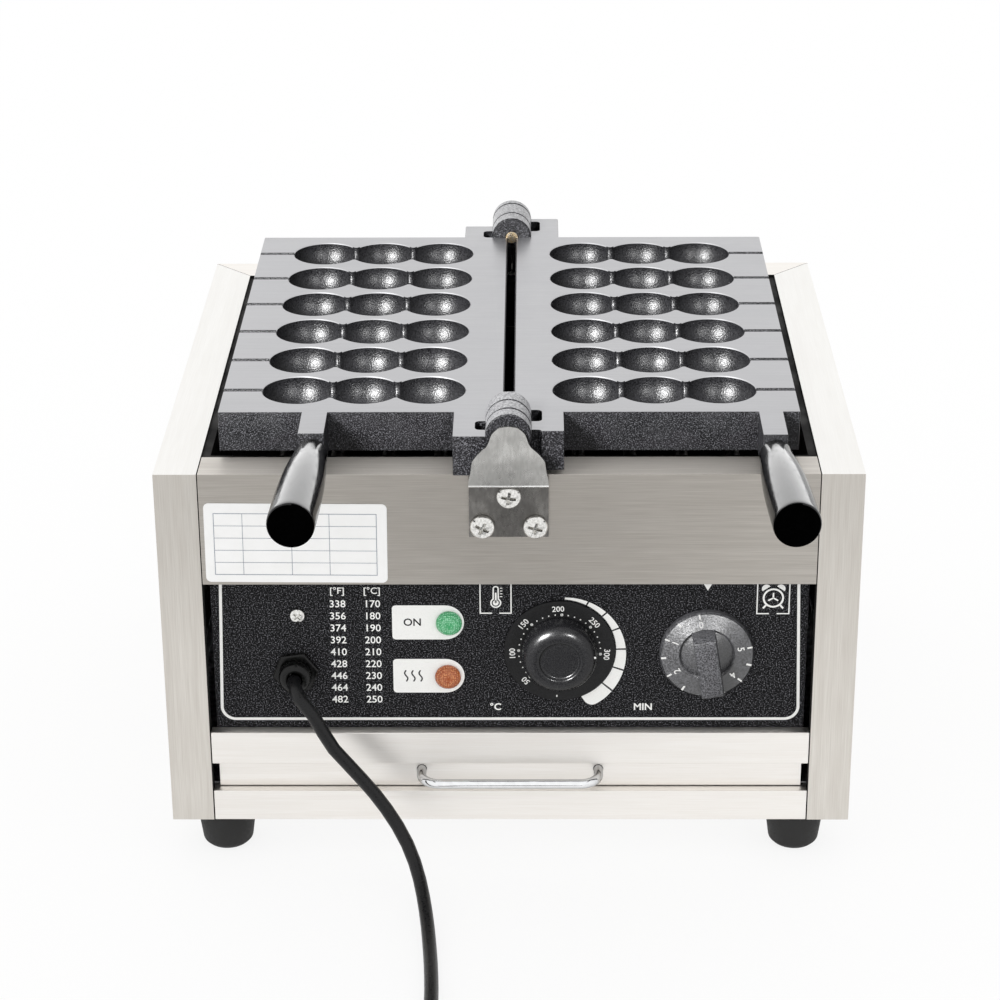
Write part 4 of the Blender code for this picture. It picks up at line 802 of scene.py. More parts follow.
def makeElement(name, side):
    runs, height = heater["runs"], heater["height"]
    route = [casePoint(side * runs[0], heater["terminal"], height)]
    for i, (a, b) in enumerate(zip(runs, runs[1:])):
        bend, turn = (b - a) / 2, -1 if i % 2 else 1
        for angle in (pi * step / heater["steps"] for step in range(heater["steps"] + 1)):
            y = heater["ends"][i % 2] + turn * bend * sin(angle)
            route.append(casePoint(side * (a + bend - bend * cos(angle)), y, height))
    route.append(casePoint(side * runs[-1], heater["terminal"], height))
    return fromMesh(name, evaluated(tubeCurve(name, route, heater["radius"])), [tubeSteel], 40)


bm = bmesh.new()
bore, r, length = heater["bore"], heater["bushRadius"], heater["bushLength"]
bush = [(bore, 0), (r, 0), (r, 0.002), (r * 0.85, 0.003), (r * 0.85, length), (bore, length)]
for side, word in ((-1, "left"), (1, "right")):
    bodyPiece(makeElement(f"{word}Element", side), "case", "element_steel", f"{word}_heating_element")
    for x in (heater["runs"][0], heater["runs"][-1]):
        turned(bush, 24, placed(side * x, heater["bushPlace"], heater["height"]), closed=True, bm=bm)
bodyPiece(fromBmesh("elementBushes", bm, [ceramic], 35), "case", "ceramic")


# Mould plates
plateSizes = {
    "halfGap": 0.00015, "top": partingHeight - 0.00015, "bottom": 0.227, "front": 0.0247, "rear": 0.3327,
    "near": 0.0004, "reach": 0.1645, "earReach": 0.031, "slotHalf": 0.0027, "slotFront": 0.056, "slotRear": 0.3308,
    "edge": 0.0008, "pocketRadius": 0.021, "firstPocket": 0.046, "pocketPitch": 0.0375, "pockets": 3,
    "firstRow": 0.0582, "rowPitch": 0.0482, "rows": 6, "rim": 0.0005, "grooveRadius": 0.0022, "neckRadius": 0.0119,
    "neckReach": 0.002, "notchReach": 0.0188, "ringRadius": 0.01288, "ringEase": 0.0009, "lastRingRound": 0.005,
    "bore": 0.0033, "headSeat": (0.0043, 0.0016), "studRadius": 0.0043, "studDepth": 0.0153,
}
parting = partingHeight + footHeight
plateTop = plateSizes["top"] + footHeight
firstRow = caseFront + plateSizes["firstRow"]
rowPlaces = [firstRow + row * plateSizes["rowPitch"] for row in range(plateSizes["rows"])]
columnPlaces = [plateSizes["firstPocket"] + i * plateSizes["pocketPitch"] for i in range(plateSizes["pockets"])]
neckPlaces = [x + plateSizes["pocketPitch"] / 2 for x in columnPlaces[:-1]]
grooveStart = columnPlaces[-1] + plateSizes["pocketRadius"] * 0.9
# Ring owner (-1 left, 1 right), front and rear in the case frame
hingeRings = [
    (-1, -0.0117, -0.0021), (1, -0.0016, 0.0104), (-1, 0.0109, 0.0269),
    (1, 0.3319, 0.3444), (-1, 0.3449, 0.3644), (1, 0.3649, 0.3717),
]
plates = {
    -1: {"word": "left", "earFront": -0.0112, "earRear": 0.3555, "boss": (0.1024, 0.1170, -0.0066)},
    1: {"word": "right", "earFront": -0.0035, "earRear": 0.3712, "boss": (0.1410, 0.1548, -0.0090)},
}
# Handles: bakelite grips, narrow at the plate and full at their nearly flat end.
# Shape and end are shares of the radius and of the length
handle = {
    "reach": 0.106, "radius": 0.013, "splay": 0.0042, "height": 0.239, "sides": 72,
    "shape": [(0.70, 0.0), (0.71, 0.05), (0.74, 0.11), (0.81, 0.20), (0.885, 0.31), (0.945, 0.45), (0.982, 0.62),
              (0.997, 0.78), (0.998, 0.95)],
    "end": [(0.993, 0.968), (0.975, 0.981), (0.940, 0.989), (0.88, 0.993), (0.70, 0.9965), (0.40, 0.999), (0.0, 1.0)],
}


def plateSlab(side):
    s, shape = plateSizes, plates[side]
    inner, outer, bossFront = shape["boss"]
    outline = [
        (s["near"], shape["earFront"]), (s["earReach"], shape["earFront"]), (s["earReach"], s["front"]),
        (inner, s["front"]), (inner, bossFront), (outer, bossFront), (outer, s["front"]), (s["reach"], s["front"]),
        (s["reach"], s["rear"]), (s["earReach"], s["rear"]), (s["earReach"], shape["earRear"]),
        (s["near"], shape["earRear"]), (s["near"], s["slotRear"]), (s["slotHalf"], s["slotRear"]),
        (s["slotHalf"], s["slotFront"]), (s["near"], s["slotFront"]),
    ]
    bm = extruded([(side * x, caseFront + y) for x, y in outline], s["bottom"] + footHeight, plateTop)
    bmesh.ops.bevel(bm, geom=bm.edges[:], offset=s["edge"], segments=2, profile=0.6, affect="EDGES",
                    clamp_overlap=True)
    return fromBmesh("slab", bm)


def ringTool(side):
    # Hinge rings, the front group's last one rounder
    s, bm = plateSizes, bmesh.new()
    for owner, front, rear in hingeRings:
        if owner == side:
            long, r, ease = rear - front, s["ringRadius"], s["ringEase"]
            last = s["lastRingRound"] if rear == hingeRings[2][2] else ease
            back = quarter((r - last, long - last), last, 0, 90, 15)
            profile = [(0, 0), (r - ease, 0), (r, ease), *back, (0, long)]
            turned(profile, 72, placed(0, front, partingHeight, facingRear), bm=bm)
    return fromBmesh("rings", bm)


def notchTool(side):
    # Notches for the other plate's rings, with round outer ends
    reach, bm = plateSizes["notchReach"], bmesh.new()
    for owner, front, rear in hingeRings:
        if owner != side:
            wide, long = reach + 0.014, rear - front + 0.0008
            matrix = Matrix.Translation((side * (reach - wide / 2), caseFront + (front + rear) / 2, 0))
            extruded(roundedOutline(wide, long, min(0.003, long * 0.4), 5), 0.23, 0.30, bm, matrix)
    return fromBmesh("notches", bm)


def smallTool(side):
    # Stick grooves, pin bores with the rear pin head's seat, and the handle's stud hole
    s, bm = plateSizes, bmesh.new()
    long, r = s["reach"] + 0.003 - grooveStart, s["grooveRadius"]
    for y in rowPlaces:
        matrix = Matrix.Translation((side * grooveStart, y, parting)) @ Matrix.Rotation(side * pi / 2, 4, "Y")
        turned([(0, 0), (r, 0), (r, long), (0, long)], 24, matrix, bm=bm)
    wide, deep = s["headSeat"]
    for front, rear, mouth in ((-0.016, 0.0275, []), (0.3302, 0.375, [(wide, 0), (wide, deep)])):
        long, seat = rear - front, deep if mouth else 0
        profile = [(0, 0), *mouth, (s["bore"], seat), (s["bore"], long), (0, long)]
        turned(profile, 32, placed(0, front, partingHeight, facingRear), bm=bm)
    r, deep = s["studRadius"], s["studDepth"]
    turned([(0, -deep), (r, -deep), (r, 0.003), (0, 0.003)], 24, handlePlace(side)[0], bm=bm)
    return fromBmesh("smallTools", bm)


def neckTool(side):
    # Between two balls of a row the wall falls to a smooth saddle
    s, bm, steps = plateSizes, bmesh.new(), 8
    places = [s["neckReach"] * (2 * i / steps - 1) for i in range(steps + 1)]
    waist = [(s["neckRadius"] + 250 * x ** 2, x) for x in places]
    for y in rowPlaces:
        for x in neckPlaces:
            matrix = Matrix.Translation((side * x, y, parting)) @ Matrix.Rotation(pi / 2, 4, "Y")
            turned([(0, places[0]), *waist, (0, places[-1])], 64, matrix, bm=bm)
    return fromBmesh("necks", bm)


def pocketTools(side):
    # One pocket's cutter is a fine half ball whose flared lip leaves the rim's narrow chamfer.
    # The row tree copies it, a column at a time
    s, rings = plateSizes, 20
    radius, low = s["pocketRadius"], -s["halfGap"]
    angles = [pi / 2 * i / rings for i in range(rings)]
    profile = [*((radius * sin(a), -radius * cos(a)) for a in angles), (radius, low - s["rim"]),
               (radius + s["rim"], low), (radius + s["rim"] + 0.002, low + 0.002), (0, low + 0.002)]
    tool = fromBmesh("pocketTool", turned(profile, 64))
    values = {"Piece": tool, "Count": s["rows"], "Pitch": s["rowPitch"], "Finish": pocketCoat}
    column = runTree(rowOfPieces, values)
    bpy.data.objects.remove(tool)
    tools = []
    for x in columnPlaces:
        mesh = column.copy()
        mesh.transform(Matrix.Translation((side * x, firstRow, parting)))
        mesh.materials.clear()
        tools.append(fromMesh("pockets", mesh))
    return tools


def plateFinish(face):
    # Index of the casting, the pale metal of the top faces (a painted reflection), the pockets' coating or the rings'
    # painted highlight
    s, centre, normal = plateSizes, face.center, face.normal
    x, rise = abs(centre.x), centre.z - parting
    fromRows = [hypot(centre.y - y, rise) for y in rowPlaces]
    near = min(fromRows)
    onNeck = any(abs(x - neck) < s["neckReach"] for neck in neckPlaces) and near < s["neckRadius"] + 0.0011
    flat = normal.z > 0.999 and abs(centre.z - plateTop) < 0.0002
    easedEdge = normal.z > 0.6 and x > 0.0135 and centre.z > plateTop - 0.0012
    onRing = abs(hypot(x, rise) - s["ringRadius"]) < 0.0008 and abs(normal.y) < 0.6
    # The rings' upper halves take the pale metal, a painted highlight
    if onRing and normal.z > 0.15:
        return 3
    if x > grooveStart and centre.z < plateTop - 0.00005 and near < s["grooveRadius"] + 0.0001:
        return 0
    # The flat top and its eased edges take the pale metal: a painted reflection, and a painted highlight on the edges
    if (flat or easedEdge) and not onNeck:
        return 1
    return 2 if onNeck or min(hypot(x - column, near) for column in columnPlaces) < s["pocketRadius"] + 0.0001 else 0


def handlePlace(side):
    # The handle's base and its length along its own axis, which leads outward a little
    inner, outer, bossFront = plates[side]["boss"]
    length = handle["reach"] + bossFront - fitGap
    angle = side * asin(handle["splay"] / length)
    lead = (outer - inner) / 2 * sin(abs(angle))
    turn = Matrix.Rotation(angle, 4, "Z") @ facingFront
    return placed(side * (inner + outer) / 2, bossFront - fitGap - lead, handle["height"], turn), length - lead


def makePlate(side):
    # Notches come first, so that they leave the plate's own rings whole
    slab, notches, rings = plateSlab(side), notchTool(side), ringTool(side)
    cutters = [*pocketTools(side), smallTool(side), neckTool(side)]
    booleanStep(slab, notches)
    booleanStep(slab, rings, "UNION")
    for piece in cutters:
        booleanStep(slab, piece)
    mesh = evaluated(slab, (notches, rings, *cutters))
    word = plates[side]["word"]
    plate = fromMesh(f"{word}Plate", mesh, [castingAndGlints, paintedPlateReflection, pocketCoat, wornRing], 28)
    for face in plate.data.polygons:
        face.material_index = plateFinish(face)
    return bodyPiece(plate, f"{word}_plate", "cast_alloy", f"{word}_mould_plate")


def makeHandle(side):
    matrix, length = handlePlace(side)
    r, word = handle["radius"], plates[side]["word"]
    body = smoothProfile(handle["shape"], 5, r, length)
    end = [(r * u, length * v) for u, v in handle["end"]]
    profile = [(0, 0.0004), (r * 0.64, 0.0004), (r * 0.68, 0.0), *body[1:], *end]
    grip = fromBmesh(f"{word}Grip", turned(profile, handle["sides"], matrix), [handleBlack, gripEndPaintedShade], 50)
    # Faces towards the front take the darker, glossless copy, as painted shade
    for face in grip.data.polygons:
        face.material_index = 1 if face.normal.y < -0.5 else 0
    bodyPiece(grip, f"{word}_plate", "black_bakelite", f"{word}_handle")


for side in plates:
    plate = makePlate(side)
    makeHandle(side)
    print(plate.name, len(plate.data.polygons), "faces")
print("plates and handles ready")


# Hinge brackets: a bell-shaped ear on a stepped flange
bracket = {
    "half": 0.0224, "ear": 0.014, "thick": 0.002, "bend": 0.2224, "top": 0.2576, "flange": 0.0369, "round": 0.002,
    "bell": [(1.0, 0.0), (0.99, 0.08), (0.945, 0.208), (0.917, 0.337), (0.899, 0.40), (0.83, 0.465), (0.747, 0.529),
             (0.645, 0.593), (0.562, 0.641), (0.493, 0.721), (0.424, 0.849), (0.369, 0.897), (0.286, 0.946),
             (0.207, 0.978), (0.0, 1.0)],
    "screws": {"top": (0.0, 0.2107, 0.0026), "left": (-0.015, 0.192, 0.0026), "right": (0.015, 0.192, 0.0026)},
}


def makeBracket(name, node, matrix):
    b = bracket
    half, bend, ear, thick, r = (b[key] for key in ("half", "bend", "ear", "thick", "round"))
    right = [(x, bend + z) for x, z in smoothProfile(b["bell"], 3, half, b["top"] - bend)]
    left = [(-x, z) for x, z in reversed(right[:-1])]
    low, face, base = bend - 0.0002, thick + fitGap, bend - thick
    bell = extruded([(-half, low), (half, low), *right, *left], ear - thick, ear)
    # The step, as a section across X, with its front bend round
    section = [*quarter((ear - r, r), r, -90, 0, 15)[::-1], (face, 0.0), (face, thick - b["flange"]),
               (face - thick, thick - b["flange"]), (face - thick, thick)]
    turn = Matrix(((0, 0, 1, 0), (0, 1, 0, 0), (1, 0, 0, 0), (0, 0, 0, 1)))
    shelf = fromBmesh("shelf", extruded([(y, base + z) for y, z in section], -half, half, matrix=turn))
    piece = fromBmesh(name, bell)
    booleanStep(piece, shelf, "UNION", "EXACT")
    bevelStep(piece, 0.0004, 2, 40)
    mesh = evaluated(piece, [shelf])
    piece = fromMesh(name, mesh, [bracketSteel, flangeSteel, bendSteel], 30)
    # Flange faces under the shelf take the darker copy (painted shade); the front bend's arc takes the white copy (a
    # painted highlight)
    for polygon in mesh.polygons:
        _, height, depth = polygon.center
        behind = depth < ear - r - 0.0002
        polygon.material_index = 1 if behind and height < bend + 0.0005 else 0
        if not behind and height < bend + r - 0.0003 and abs(polygon.normal.y) > 0.1:
            polygon.material_index = 2
    mesh.transform(matrix)
    bodyPiece(piece, "case", "bright_steel", node)


# Screws
def crossHead(name, radius, height):
    # Pan head with a cross recess
    domed = [(0, -0.0012), (radius * 0.5, -0.0012), (radius * 0.5, 0), (radius, 0), (radius, height * 0.3)]
    domed += [(radius * cos(radians(a)), height * (0.3 + 0.7 * sin(radians(a)))) for a in (15, 30, 45, 60, 75)]
    head = fromBmesh(name, turned([*domed, (0, height)], 40))
    arm, thin, arms = radius * 0.62, radius * 0.13, []
    for wide, deep in ((arm, thin), (thin, arm)):
        bm = bmesh.new()
        loops = [[bm.verts.new((x * wide * a, y * deep * b, height * c))
                  for x, y in ((-1, -1), (1, -1), (1, 1), (-1, 1))]
                 for a, b, c in ((1, 1, 1.1), (0.45, 0.8, 0.2))]
        arms.append(fromBmesh("arm", bridge(bm, loops, capped=True)))
        booleanStep(head, arms[-1], solver="EXACT")
    return fromMesh(name, evaluated(head, arms), smoothAngle=35)


def makeScrews(name, head, points, matrix, seed, *standsFor):
    mesh = runTree(screwsOnPoints, {"Piece": head, "Seed": seed, "Finish": screwSteel}, points)
    mesh.transform(matrix)
    bodyPiece(fromMesh(name, mesh), "case", "bright_steel", *standsFor)


frontMatrix = placed(0, 0, 0)
rearMatrix = placed(0, caseDepth, 0, Matrix.Rotation(pi, 4, "Z") @ facingFront)
makeBracket("frontBracket", "front_hinge_bracket", frontMatrix)
makeBracket("rearBracket", "rear_hinge_bracket", rearMatrix)
bigHead, smallHead = crossHead("bracketHead", 0.0071, 0.0038), crossHead("caseHead", 0.0044, 0.0021)
for end, matrix, seed in (("front", frontMatrix, 3), ("rear", rearMatrix, 8)):
    names = [f"{end}_bracket_{word}_screw" for word in bracket["screws"]]
    makeScrews(f"{end}BracketScrews", bigHead, bracket["screws"].values(), matrix, seed, *names)
makeScrews("panelScrew", smallHead, [(-0.1223, 0.1311, fitGap)], placed(0, 0.008, 0), 5, "panel_screw")
rearPlaces = [(x, z, 0.0) for x in (-0.1925, 0.1925) for z in (0.030, 0.110, 0.190)]
makeScrews("rearPanelScrews", smallHead, rearPlaces, rearMatrix, 11)
for head in (bigHead, smallHead):
    bpy.data.objects.remove(head)
print("brackets and screws ready")


# Drawer handle: chromed rod with round bends, and its nuts inside the drawer
pull = {"rod": 0.0028, "leg": 0.052, "bend": 0.011, "bar": -0.012, "back": 0.013, "height": 0.031, "steps": 14}


def makePull():
    rod, leg, bend, height = (pull[key] for key in ("rod", "leg", "bend", "height"))
    angles = [pi / 2 * step / pull["steps"] for step in range(pull["steps"] + 1)]
    turn = [(leg - bend + bend * cos(a), pull["bar"] + bend - bend * sin(a)) for a in angles]
    half = [(leg, pull["back"]), *turn]
    route = [casePoint(-x, y, height) for x, y in half] + [casePoint(x, y, height) for x, y in half[::-1]]
    piece = fromMesh("drawerPull", evaluated(tubeCurve("drawerPull", route, rod, 6)), [wireChromePaintedReflection], 50)
    bodyPiece(piece, "drawer", "chromed_wire", "drawer_handle")
    bm = bmesh.new()
    for x in (-leg, leg):
        nut = [(rod, 0), (0.0050, 0), (0.0050, 0.0026), (rod, 0.0026)]
        turned(nut, 6, placed(x, 0.0076, height, facingRear), closed=True, bm=bm)
    bodyPiece(fromBmesh("pullNuts", bm, [pressedSteel], 35), "drawer", "bright_steel")


# Feet: moulded rubber, tapered, with a groove under the flange
def makeFeet():
    low = -footHeight
    profile = [(0, low + 0.004), (0.005, low + 0.004), (0.005, low), (0.0118, low), (0.0148, low + 0.003),
               (0.0163, -0.0100), (0.0172, -0.0020), (0.0170, -0.0003), (0.003, -0.0003), (0.003, 0.008), (0, 0.008)]
    for end, y in (("front", 0.0187), ("rear", 0.3413)):
        for word, x in (("left", -0.1697), ("right", 0.1697)):
            bm = turned(softened(profile, 0.0012), 56, placed(x, y, 0, Matrix()))
            foot = fromBmesh(f"{end}_{word}Foot", bm, [rubber], 40)
            bodyPiece(foot, "case", "black_rubber", f"{end}_{word}_foot")


makePull()
makeFeet()
print("drawer pull and feet ready")


# Control panel: places are (x, z) in the case frame
panelDepth, inkThick = 0.008, 0.00006


def onPanel(x, z, proud=0.0):
    return placed(x, panelDepth - proud, z)


def addInk(bm, outline, matrix):
    extruded(outline, 0, inkThick, bm, matrix)


def addStroke(bm, points, width, matrix, closed=False):
    # A printed line of even width through the points
    points = [Vector((x, y, 0)) for x, y in points]
    count, left, right = len(points), [], []
    for i, p in enumerate(points):
        before = points[i - 1] if i or closed else None
        after = points[(i + 1) % count] if i < count - 1 or closed else None
        a = (p - before).normalized() if before is not None else (after - p).normalized()
        b = (after - p).normalized() if after is not None else a
        across = Vector((-(a.y + b.y), a.x + b.x, 0)).normalized()
        reach = width / 2 / max(0.5, across.dot(Vector((-a.y, a.x, 0))))
        left.append(p + across * reach)
        right.append(p - across * reach)
    for i in range(count if closed else count - 1):
        j = (i + 1) % count
        addInk(bm, [(q.x, q.y) for q in (left[i], right[i], right[j], left[j])], matrix)


def arcPoints(radius, start, end, steps, centre=(0, 0)):
    # Clockwise from the top, in degrees
    angles = [radians(start + (end - start) * i / steps) for i in range(steps + 1)]
    return [(centre[0] + radius * sin(a), centre[1] + radius * cos(a)) for a in angles]


def addText(bm, words, size, x, y, matrix, turn=0.0, weight=0.0):
    curve = bpy.data.curves.new("words", "FONT")
    curve.body, curve.size, curve.align_x, curve.align_y = words, size, "CENTER", "CENTER"
    curve.resolution_u, curve.extrude, curve.offset = 3, inkThick / 2, weight
    mesh = evaluated(link(bpy.data.objects.new("words", curve)))
    mesh.transform(matrix @ Matrix.Translation((x, y, inkThick / 2)) @ Matrix.Rotation(-radians(turn), 4, "Z"))
    bm.from_mesh(mesh)
    bpy.data.meshes.remove(mesh)


temperature = {"place": (0.029, 0.1085), "radius": 0.032, "numberRadius": 0.0272, "numberSize": 0.0048,
               "weight": 0.00005, "dotRadius": 0.0237,
               "numbers": [("50", -134), ("100", -93), ("150", -50), ("200", -2), ("250", 47), ("300", 94)]}
timer = {"place": (0.1141, 0.1077), "radius": 0.0273, "tick": 0.0251, "numberRadius": 0.0197, "numberSize": 0.0056,
         "weight": 0.00008, "numbers": [("0", -11), ("5", 78.7), ("4", 129.6), ("3", 184.4), ("2", 239), ("1", 293)],
         "halves": (104, 157, 212, 266, 320)}


def panelPrint():
    bm, flat = bmesh.new(), onPanel(0, 0)
    # Border with round lower corners; its top runs on under the upper panel
    left, right, low, high, r = -0.1684, 0.1684, 0.0635, 0.1570, 0.008
    corner = quarter((left + r, low + r), r, 180, 270, 9)
    other = [(right - x + left, z) for x, z in reversed(corner)]
    addStroke(bm, [(left + 0.0027, high), *corner, *other, (right - 0.0027, high)], 0.0017, flat)
    # Fahrenheit and Celsius columns
    for i in range(9):
        for x, value in ((-0.0990, 338 + 18 * i), (-0.0790, 170 + 10 * i)):
            addText(bm, str(value), 0.0064, x, 0.1382 - i * 0.00775, flat, weight=0.00006)
    for x, unit in ((-0.0990, "[°F]"), (-0.0790, "[°C]")):
        addText(bm, unit, 0.0058, x, 0.1466, flat, weight=0.00005)
    # Lamp plates: square at the left, round at the right
    left, right, r = -0.0677, -0.0262, 0.002
    for low, high in ((0.1155, 0.1374), (0.0808, 0.1028)):
        half = (high - low) / 2
        addInk(bm, [*quarter((right - half, low + half), half, -90, 90, 10),
                    *quarter((left + r, high - r), r, 90, 180, 30),
                    *quarter((left + r, low + r), r, 180, 270, 30)], flat)
    # Widening scale round the temperature dial, in seven fields
    centre, steps = temperature["place"], 24
    cuts = [5, 28, 48.2, 67.5, 88.9, 109.4, 130.7, 157]
    for a, b in zip(cuts, cuts[1:]):
        start, end, outer = a + (0.8 if a > 5 else 0), b - (0.8 if b < 150 else 0), []
        for angle in (start + (end - start) * k / steps for k in range(steps + 1)):
            reach = 0.0340 + 0.0070 * min(1, (angle - 5) / 135)
            if angle > 149:
                reach = 0.0335 + (reach - 0.0335) * max(0, 1 - ((angle - 149) / 8) ** 2) ** 0.5
            outer.append((centre[0] + reach * sin(radians(angle)), centre[1] + reach * cos(radians(angle))))
        addInk(bm, arcPoints(0.0328, start, end, steps, centre) + outer[::-1], flat)
    # Timer's mark, and the captions' places in plain unit signs
    addInk(bm, [(0.1139, 0.1467), (0.1169, 0.1520), (0.1109, 0.1520)], flat)
    for x, unit in ((-0.0083, "°C"), (0.0778, "MIN")):
        addText(bm, unit, 0.0062, x, 0.0712, flat, weight=0.00012)
    # Thermometer and alarm clock signs, each in an open frame
    for left, first, last, right, low in ((-0.0168, -0.0100, -0.0058, 0.0010, 0.1324),
                                          (0.1424, 0.1494, 0.1538, 0.1608, 0.1320)):
        addStroke(bm, [(left, 0.158), (left, low), (first, low)], 0.0007, flat)
        addStroke(bm, [(last, low), (right, low), (right, 0.158)], 0.0007, flat)
    x, bulb = -0.0078, 0.1390
    outline = arcPoints(0.0028, 32, 328, 24, (x, bulb)) + arcPoints(0.0014, -90, 90, 10, (x, 0.1480))
    addStroke(bm, outline, 0.0008, flat, closed=True)
    addInk(bm, arcPoints(0.0017, 0, 345, 15, (x, bulb)), flat)
    addStroke(bm, [(x, bulb), (x, 0.1455)], 0.0010, flat)
    for z in (0.1430, 0.1448, 0.1466, 0.1484):
        addStroke(bm, [(x + 0.0024, z), (x + 0.0038, z)], 0.0005, flat)
    centre = x, z = 0.1516, 0.1420
    addStroke(bm, arcPoints(0.0056, 0, 345, 23, centre), 0.0011, flat, closed=True)
    for turn in (0, 120, 240):
        addStroke(bm, [centre, arcPoints(0.0033, turn, turn + 1, 1, centre)[0]], 0.0009, flat)
    for side in (-1, 1):
        bell = arcPoints(0.0027, side * 35 - 90, side * 35 + 90, 12, (x + side * 0.0041, z + 0.0059))
        addInk(bm, bell, flat)
        addStroke(bm, [(x + side * 0.0040, z - 0.0045), (x + side * 0.0058, z - 0.0066)], 0.0011, flat)
    bodyPiece(fromBmesh("panelPrint", bm, [ink]), "case", "black_panel")


def lampPlatePrint():
    # On the white lamp plates: an ON word, and three rising waves for heat
    bm, flat, x = bmesh.new(), onPanel(0, 0, inkThick), -0.0560
    addText(bm, "ON", 0.0066, x, 0.1264, flat, weight=0.0001)
    for k in (-1, 0, 1):
        wave = [(x + k * 0.0042 + 0.0009 * sin(2 * pi * i / 12), 0.0882 + 0.0072 * i / 12) for i in range(13)]
        addStroke(bm, wave, 0.0008, flat)
    bodyPiece(fromBmesh("lampPlateMarks", bm, [dialBlack]), "case", "black_panel")


panelPrint()
lampPlatePrint()


# Marks that repeat round a dial come from the ring tree
def ringMarks(outline, count, radius, first, step, matrix):
    mark = fromBmesh("mark", extruded(outline, 0, inkThick))
    values = {"Piece": mark, "Count": count, "Radius": radius, "First": radians(first), "Step": radians(step),
              "Finish": ink}
    mesh = runTree(ringOfPieces, values)
    bpy.data.objects.remove(mark)
    mesh.transform(matrix)
    return mesh


def bar(width, length):
    return [(x * width / 2, y * length / 2) for x, y in ((-1, -1), (1, -1), (1, 1), (-1, 1))]


def dot(radius, sides=12):
    return [(radius * cos(2 * pi * i / sides), radius * sin(2 * pi * i / sides)) for i in range(sides)]


def joined(name, *meshes):
    bm = bmesh.new()
    for mesh in meshes:
        bm.from_mesh(mesh)
    return fromBmesh(name, bm, [ink])


def dialNumbers(name, dial, matrix):
    bm, radius = bmesh.new(), dial["numberRadius"]
    for words, turn in dial["numbers"]:
        x, y = radius * sin(radians(turn)), radius * cos(radians(turn))
        addText(bm, words, dial["numberSize"], x, y, matrix, turn, dial["weight"])
    return fromBmesh(name, bm, [ink])


def temperatureDial():
    t, face = temperature, onPanel(*temperature["place"], 0.0018)
    r, bore, low, high = t["radius"], 0.0036, fitGap, 0.0018
    profile = [(bore, low), (r, low), (r, high - 0.0003), (r - 0.0004, high), (bore, high)]
    bm = turned(profile, 96, onPanel(*t["place"]), closed=True)
    bodyPiece(fromBmesh("temperatureScale", bm, [dialBlack], 30), "case", "dial_black", "temperature_dial")
    bodyPiece(dialNumbers("scaleNumbers", t, face), "case", "dial_black")
    first, last = t["numbers"][0][1], t["numbers"][-1][1]
    step = (last - first) / 25
    fine = ringMarks(dot(0.00042), 26, t["dotRadius"], first, step, face)
    coarse = ringMarks(dot(0.00085, 16), 6, t["dotRadius"], first, step * 5, face)
    end = ringMarks(bar(0.0007, 0.0012), 1, 0.0290, 183, 0, face)
    bodyPiece(joined("scaleDots", fine, coarse, end), "case", "dial_black")


def temperatureKnob():
    start, bore = 0.0021, 0.0111
    profile = [(0, bore), (0.0033, bore), (0.0033, start), (0.0216, start), (0.0219, start + 0.0004),
               (0.0219, 0.0036), (0.0217, 0.0080)]
    shoulder = [(0.0140 + 0.0077 * cos(radians(a)), 0.0080 + 0.0080 * sin(radians(a))) for a in range(10, 91, 8)]
    dish = softened([shoulder[-1], (0.0122, 0.0158), (0.0115, 0.0146), (0.0109, 0.0140), (0.0, 0.0137)], 0.0010)
    bm = turned([*profile, *shoulder, *dish[1:]], 96, onPanel(*temperature["place"]))
    knob = fromBmesh("temperatureGrip", bm, [knobBlack], 40)
    bodyPiece(knob, "temperature_control", "black_bakelite", "temperature_knob")
    pointer = ringMarks(dot(0.0007, 16), 1, 0.0203, 85, 0, onPanel(*temperature["place"], 0.0132))
    bodyPiece(joined("pointerDot", pointer), "temperature_control", "black_bakelite")


def timerKnob():
    x, z = timer["place"]
    matrix, top, r = onPanel(x, z), onPanel(x, z, 0.0052), timer["radius"]
    disc = [(0, 0.0096), (0.0033, 0.0096), (0.0033, 0.0003), (r - 0.0003, 0.0003), (r, 0.0006), (r, 0.0040),
            (r - 0.0010, 0.0052), (0.0166, 0.0052), (0.0158, 0.0047), (0.0150, 0.0034), (0.0, 0.0032)]
    discBlack = turnedDisc("turnedPhenolic", x, z + footHeight, 0.42)
    face = fromBmesh("timerDisc", turned(disc, 96, matrix), [discBlack], 30)
    # Grip: its ends slope down to the rim, and its top leans left
    half, tall, reach, low = 0.0069, 0.0170, 0.0262, 0.0030
    lean = matrix @ Matrix.Rotation(radians(9), 4, "Z")
    rows = [(-reach, 0.0052), (-reach + 0.0006, 0.0095), (-reach + 0.0040, 0.0160), (-reach + 0.0062, tall),
            (0.0105, tall), (0.0135, 0.0162), (0.0152, 0.0120), (0.0160, 0.0034)]
    bm, loops = bmesh.new(), []
    for along, high in rows:
        wide = half - 0.0006 * (high / tall)
        corners = ((-half, along, low), (-wide, along, high), (wide, along, high), (half, along, low))
        loops.append([bm.verts.new(lean @ Vector(p)) for p in corners])
    grip = fromBmesh("timerGrip", bridge(bm, loops, capped=True), [timerBlack], 30)
    bevelStep(grip, 0.0009, 3, 30)
    grip = fromMesh("timerGrip", evaluated(grip), [timerBlack], 35)
    bodyPiece(face, "timer_control", "black_bakelite", "timer_knob")
    bodyPiece(grip, "timer_control", "black_bakelite")
    bodyPiece(dialNumbers("timerNumbers", timer, top), "timer_control", "black_bakelite")
    widths = [(turn, 0.0010) for _, turn in timer["numbers"]] + [(turn, 0.0012) for turn in timer["halves"]]
    marks = [ringMarks(bar(width, 0.0030), 1, timer["tick"], turn, 0, top) for turn, width in widths]
    bodyPiece(joined("timerMarks", *marks), "timer_control", "black_bakelite")


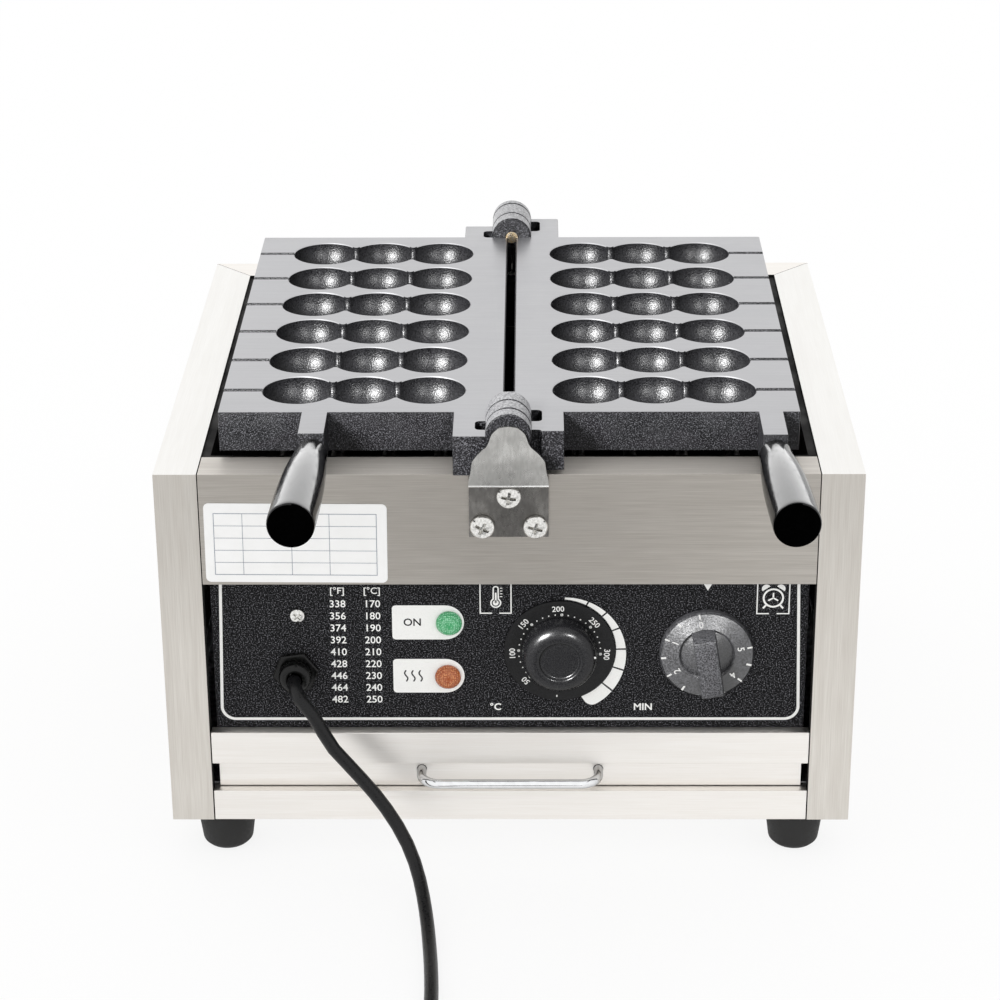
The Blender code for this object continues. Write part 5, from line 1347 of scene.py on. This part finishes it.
def lampPiece(name, node, slot, place, finish):
    profile = [(0, -0.0055), (0.005, -0.0055), (0.005, 0.0003), (0.0075, 0.0003), (0.0075, 0.0016), (0.0071, 0.0020)]
    profile += [(0.0069 * cos(radians(a)), 0.0020 + 0.0028 * sin(radians(a))) for a in range(10, 81, 10)]
    lens = fromBmesh(name, turned([*profile, (0, 0.0048)], 48, onPanel(*place)), [finish], 40)
    bodyPiece(lens, "case", slot, node)


temperatureDial()
temperatureKnob()
timerKnob()
lampPiece("greenLamp", "power_lamp_lens", "green_lens", (-0.0349, 0.1263), greenLens)
lampPiece("orangeLamp", "heat_lamp_lens", "orange_lens", (-0.0359, 0.0915), orangeLens)
print("controls ready")


# Cable gland: hexagon, barrel and the domed cap that grips the cord
def makeGland():
    matrix = onPanel(-0.1243, 0.0950)
    hexagon = [(0.0080, 0.0003), (0.0131, 0.0003), (0.0137, 0.0009), (0.0137, 0.0036), (0.0129, 0.0043),
               (0.0080, 0.0043)]
    bm = turned(hexagon, 6, matrix @ Matrix.Rotation(radians(8), 4, "Z"), closed=True)
    barrel = [(0.0044, -0.011), (0.0080, -0.011), (0.0080, 0.0053), (0.0044, 0.0053)]
    turned(barrel, 48, matrix, closed=True, bm=bm)
    bodyPiece(fromBmesh("glandBody", bm, [nylon], 30), "case", "black_plastic", "cable_gland")
    cap = [(0.0043, 0.0056), (0.0090, 0.0056), (0.0095, 0.0061), (0.0095, 0.0085), (0.0092, 0.0100), (0.0083, 0.0112),
           (0.0068, 0.0120), (0.0054, 0.0122), (0.0046, 0.0118), (0.0043, 0.0110)]
    dome = fromBmesh("glandDome", turned(cap, 64, matrix, closed=True), [nylon], 40)
    bodyPiece(dome, "case", "black_plastic", "gland_cap")


# Rating label: a bare white plate with an empty grid
def makeLabel():
    matrix = placed(-0.12075, -0.0002, 0.1808) @ Matrix.Rotation(radians(-0.4), 4, "Z")
    bm = extruded(roundedOutline(0.1035, 0.0490, 0.003), 0, 0.0003, matrix=matrix)
    bodyPiece(fromBmesh("ratingLabel", bm, [label]), "case", "brushed_steel")
    flat, bm = matrix @ Matrix.Translation((0, 0, 0.0003)), bmesh.new()
    left, right, low, high = -0.0463, 0.0458, -0.0198, 0.0182
    addStroke(bm, [(left, low), (right, low), (right, high), (left, high)], 0.0004, flat, closed=True)
    for y in (low + (high - low) * k / 5 for k in range(1, 5)):
        addStroke(bm, [(left, y), (right, y)], 0.0003, flat)
    for x in (-0.0301, -0.0024, 0.0191):
        addStroke(bm, [(x, low), (x, high)], 0.0003, flat)
    bodyPiece(fromBmesh("labelGrid", bm, [gridInk]), "case", "brushed_steel")


makeGland()
makeLabel()
print("gland and label ready")

aimLamps()
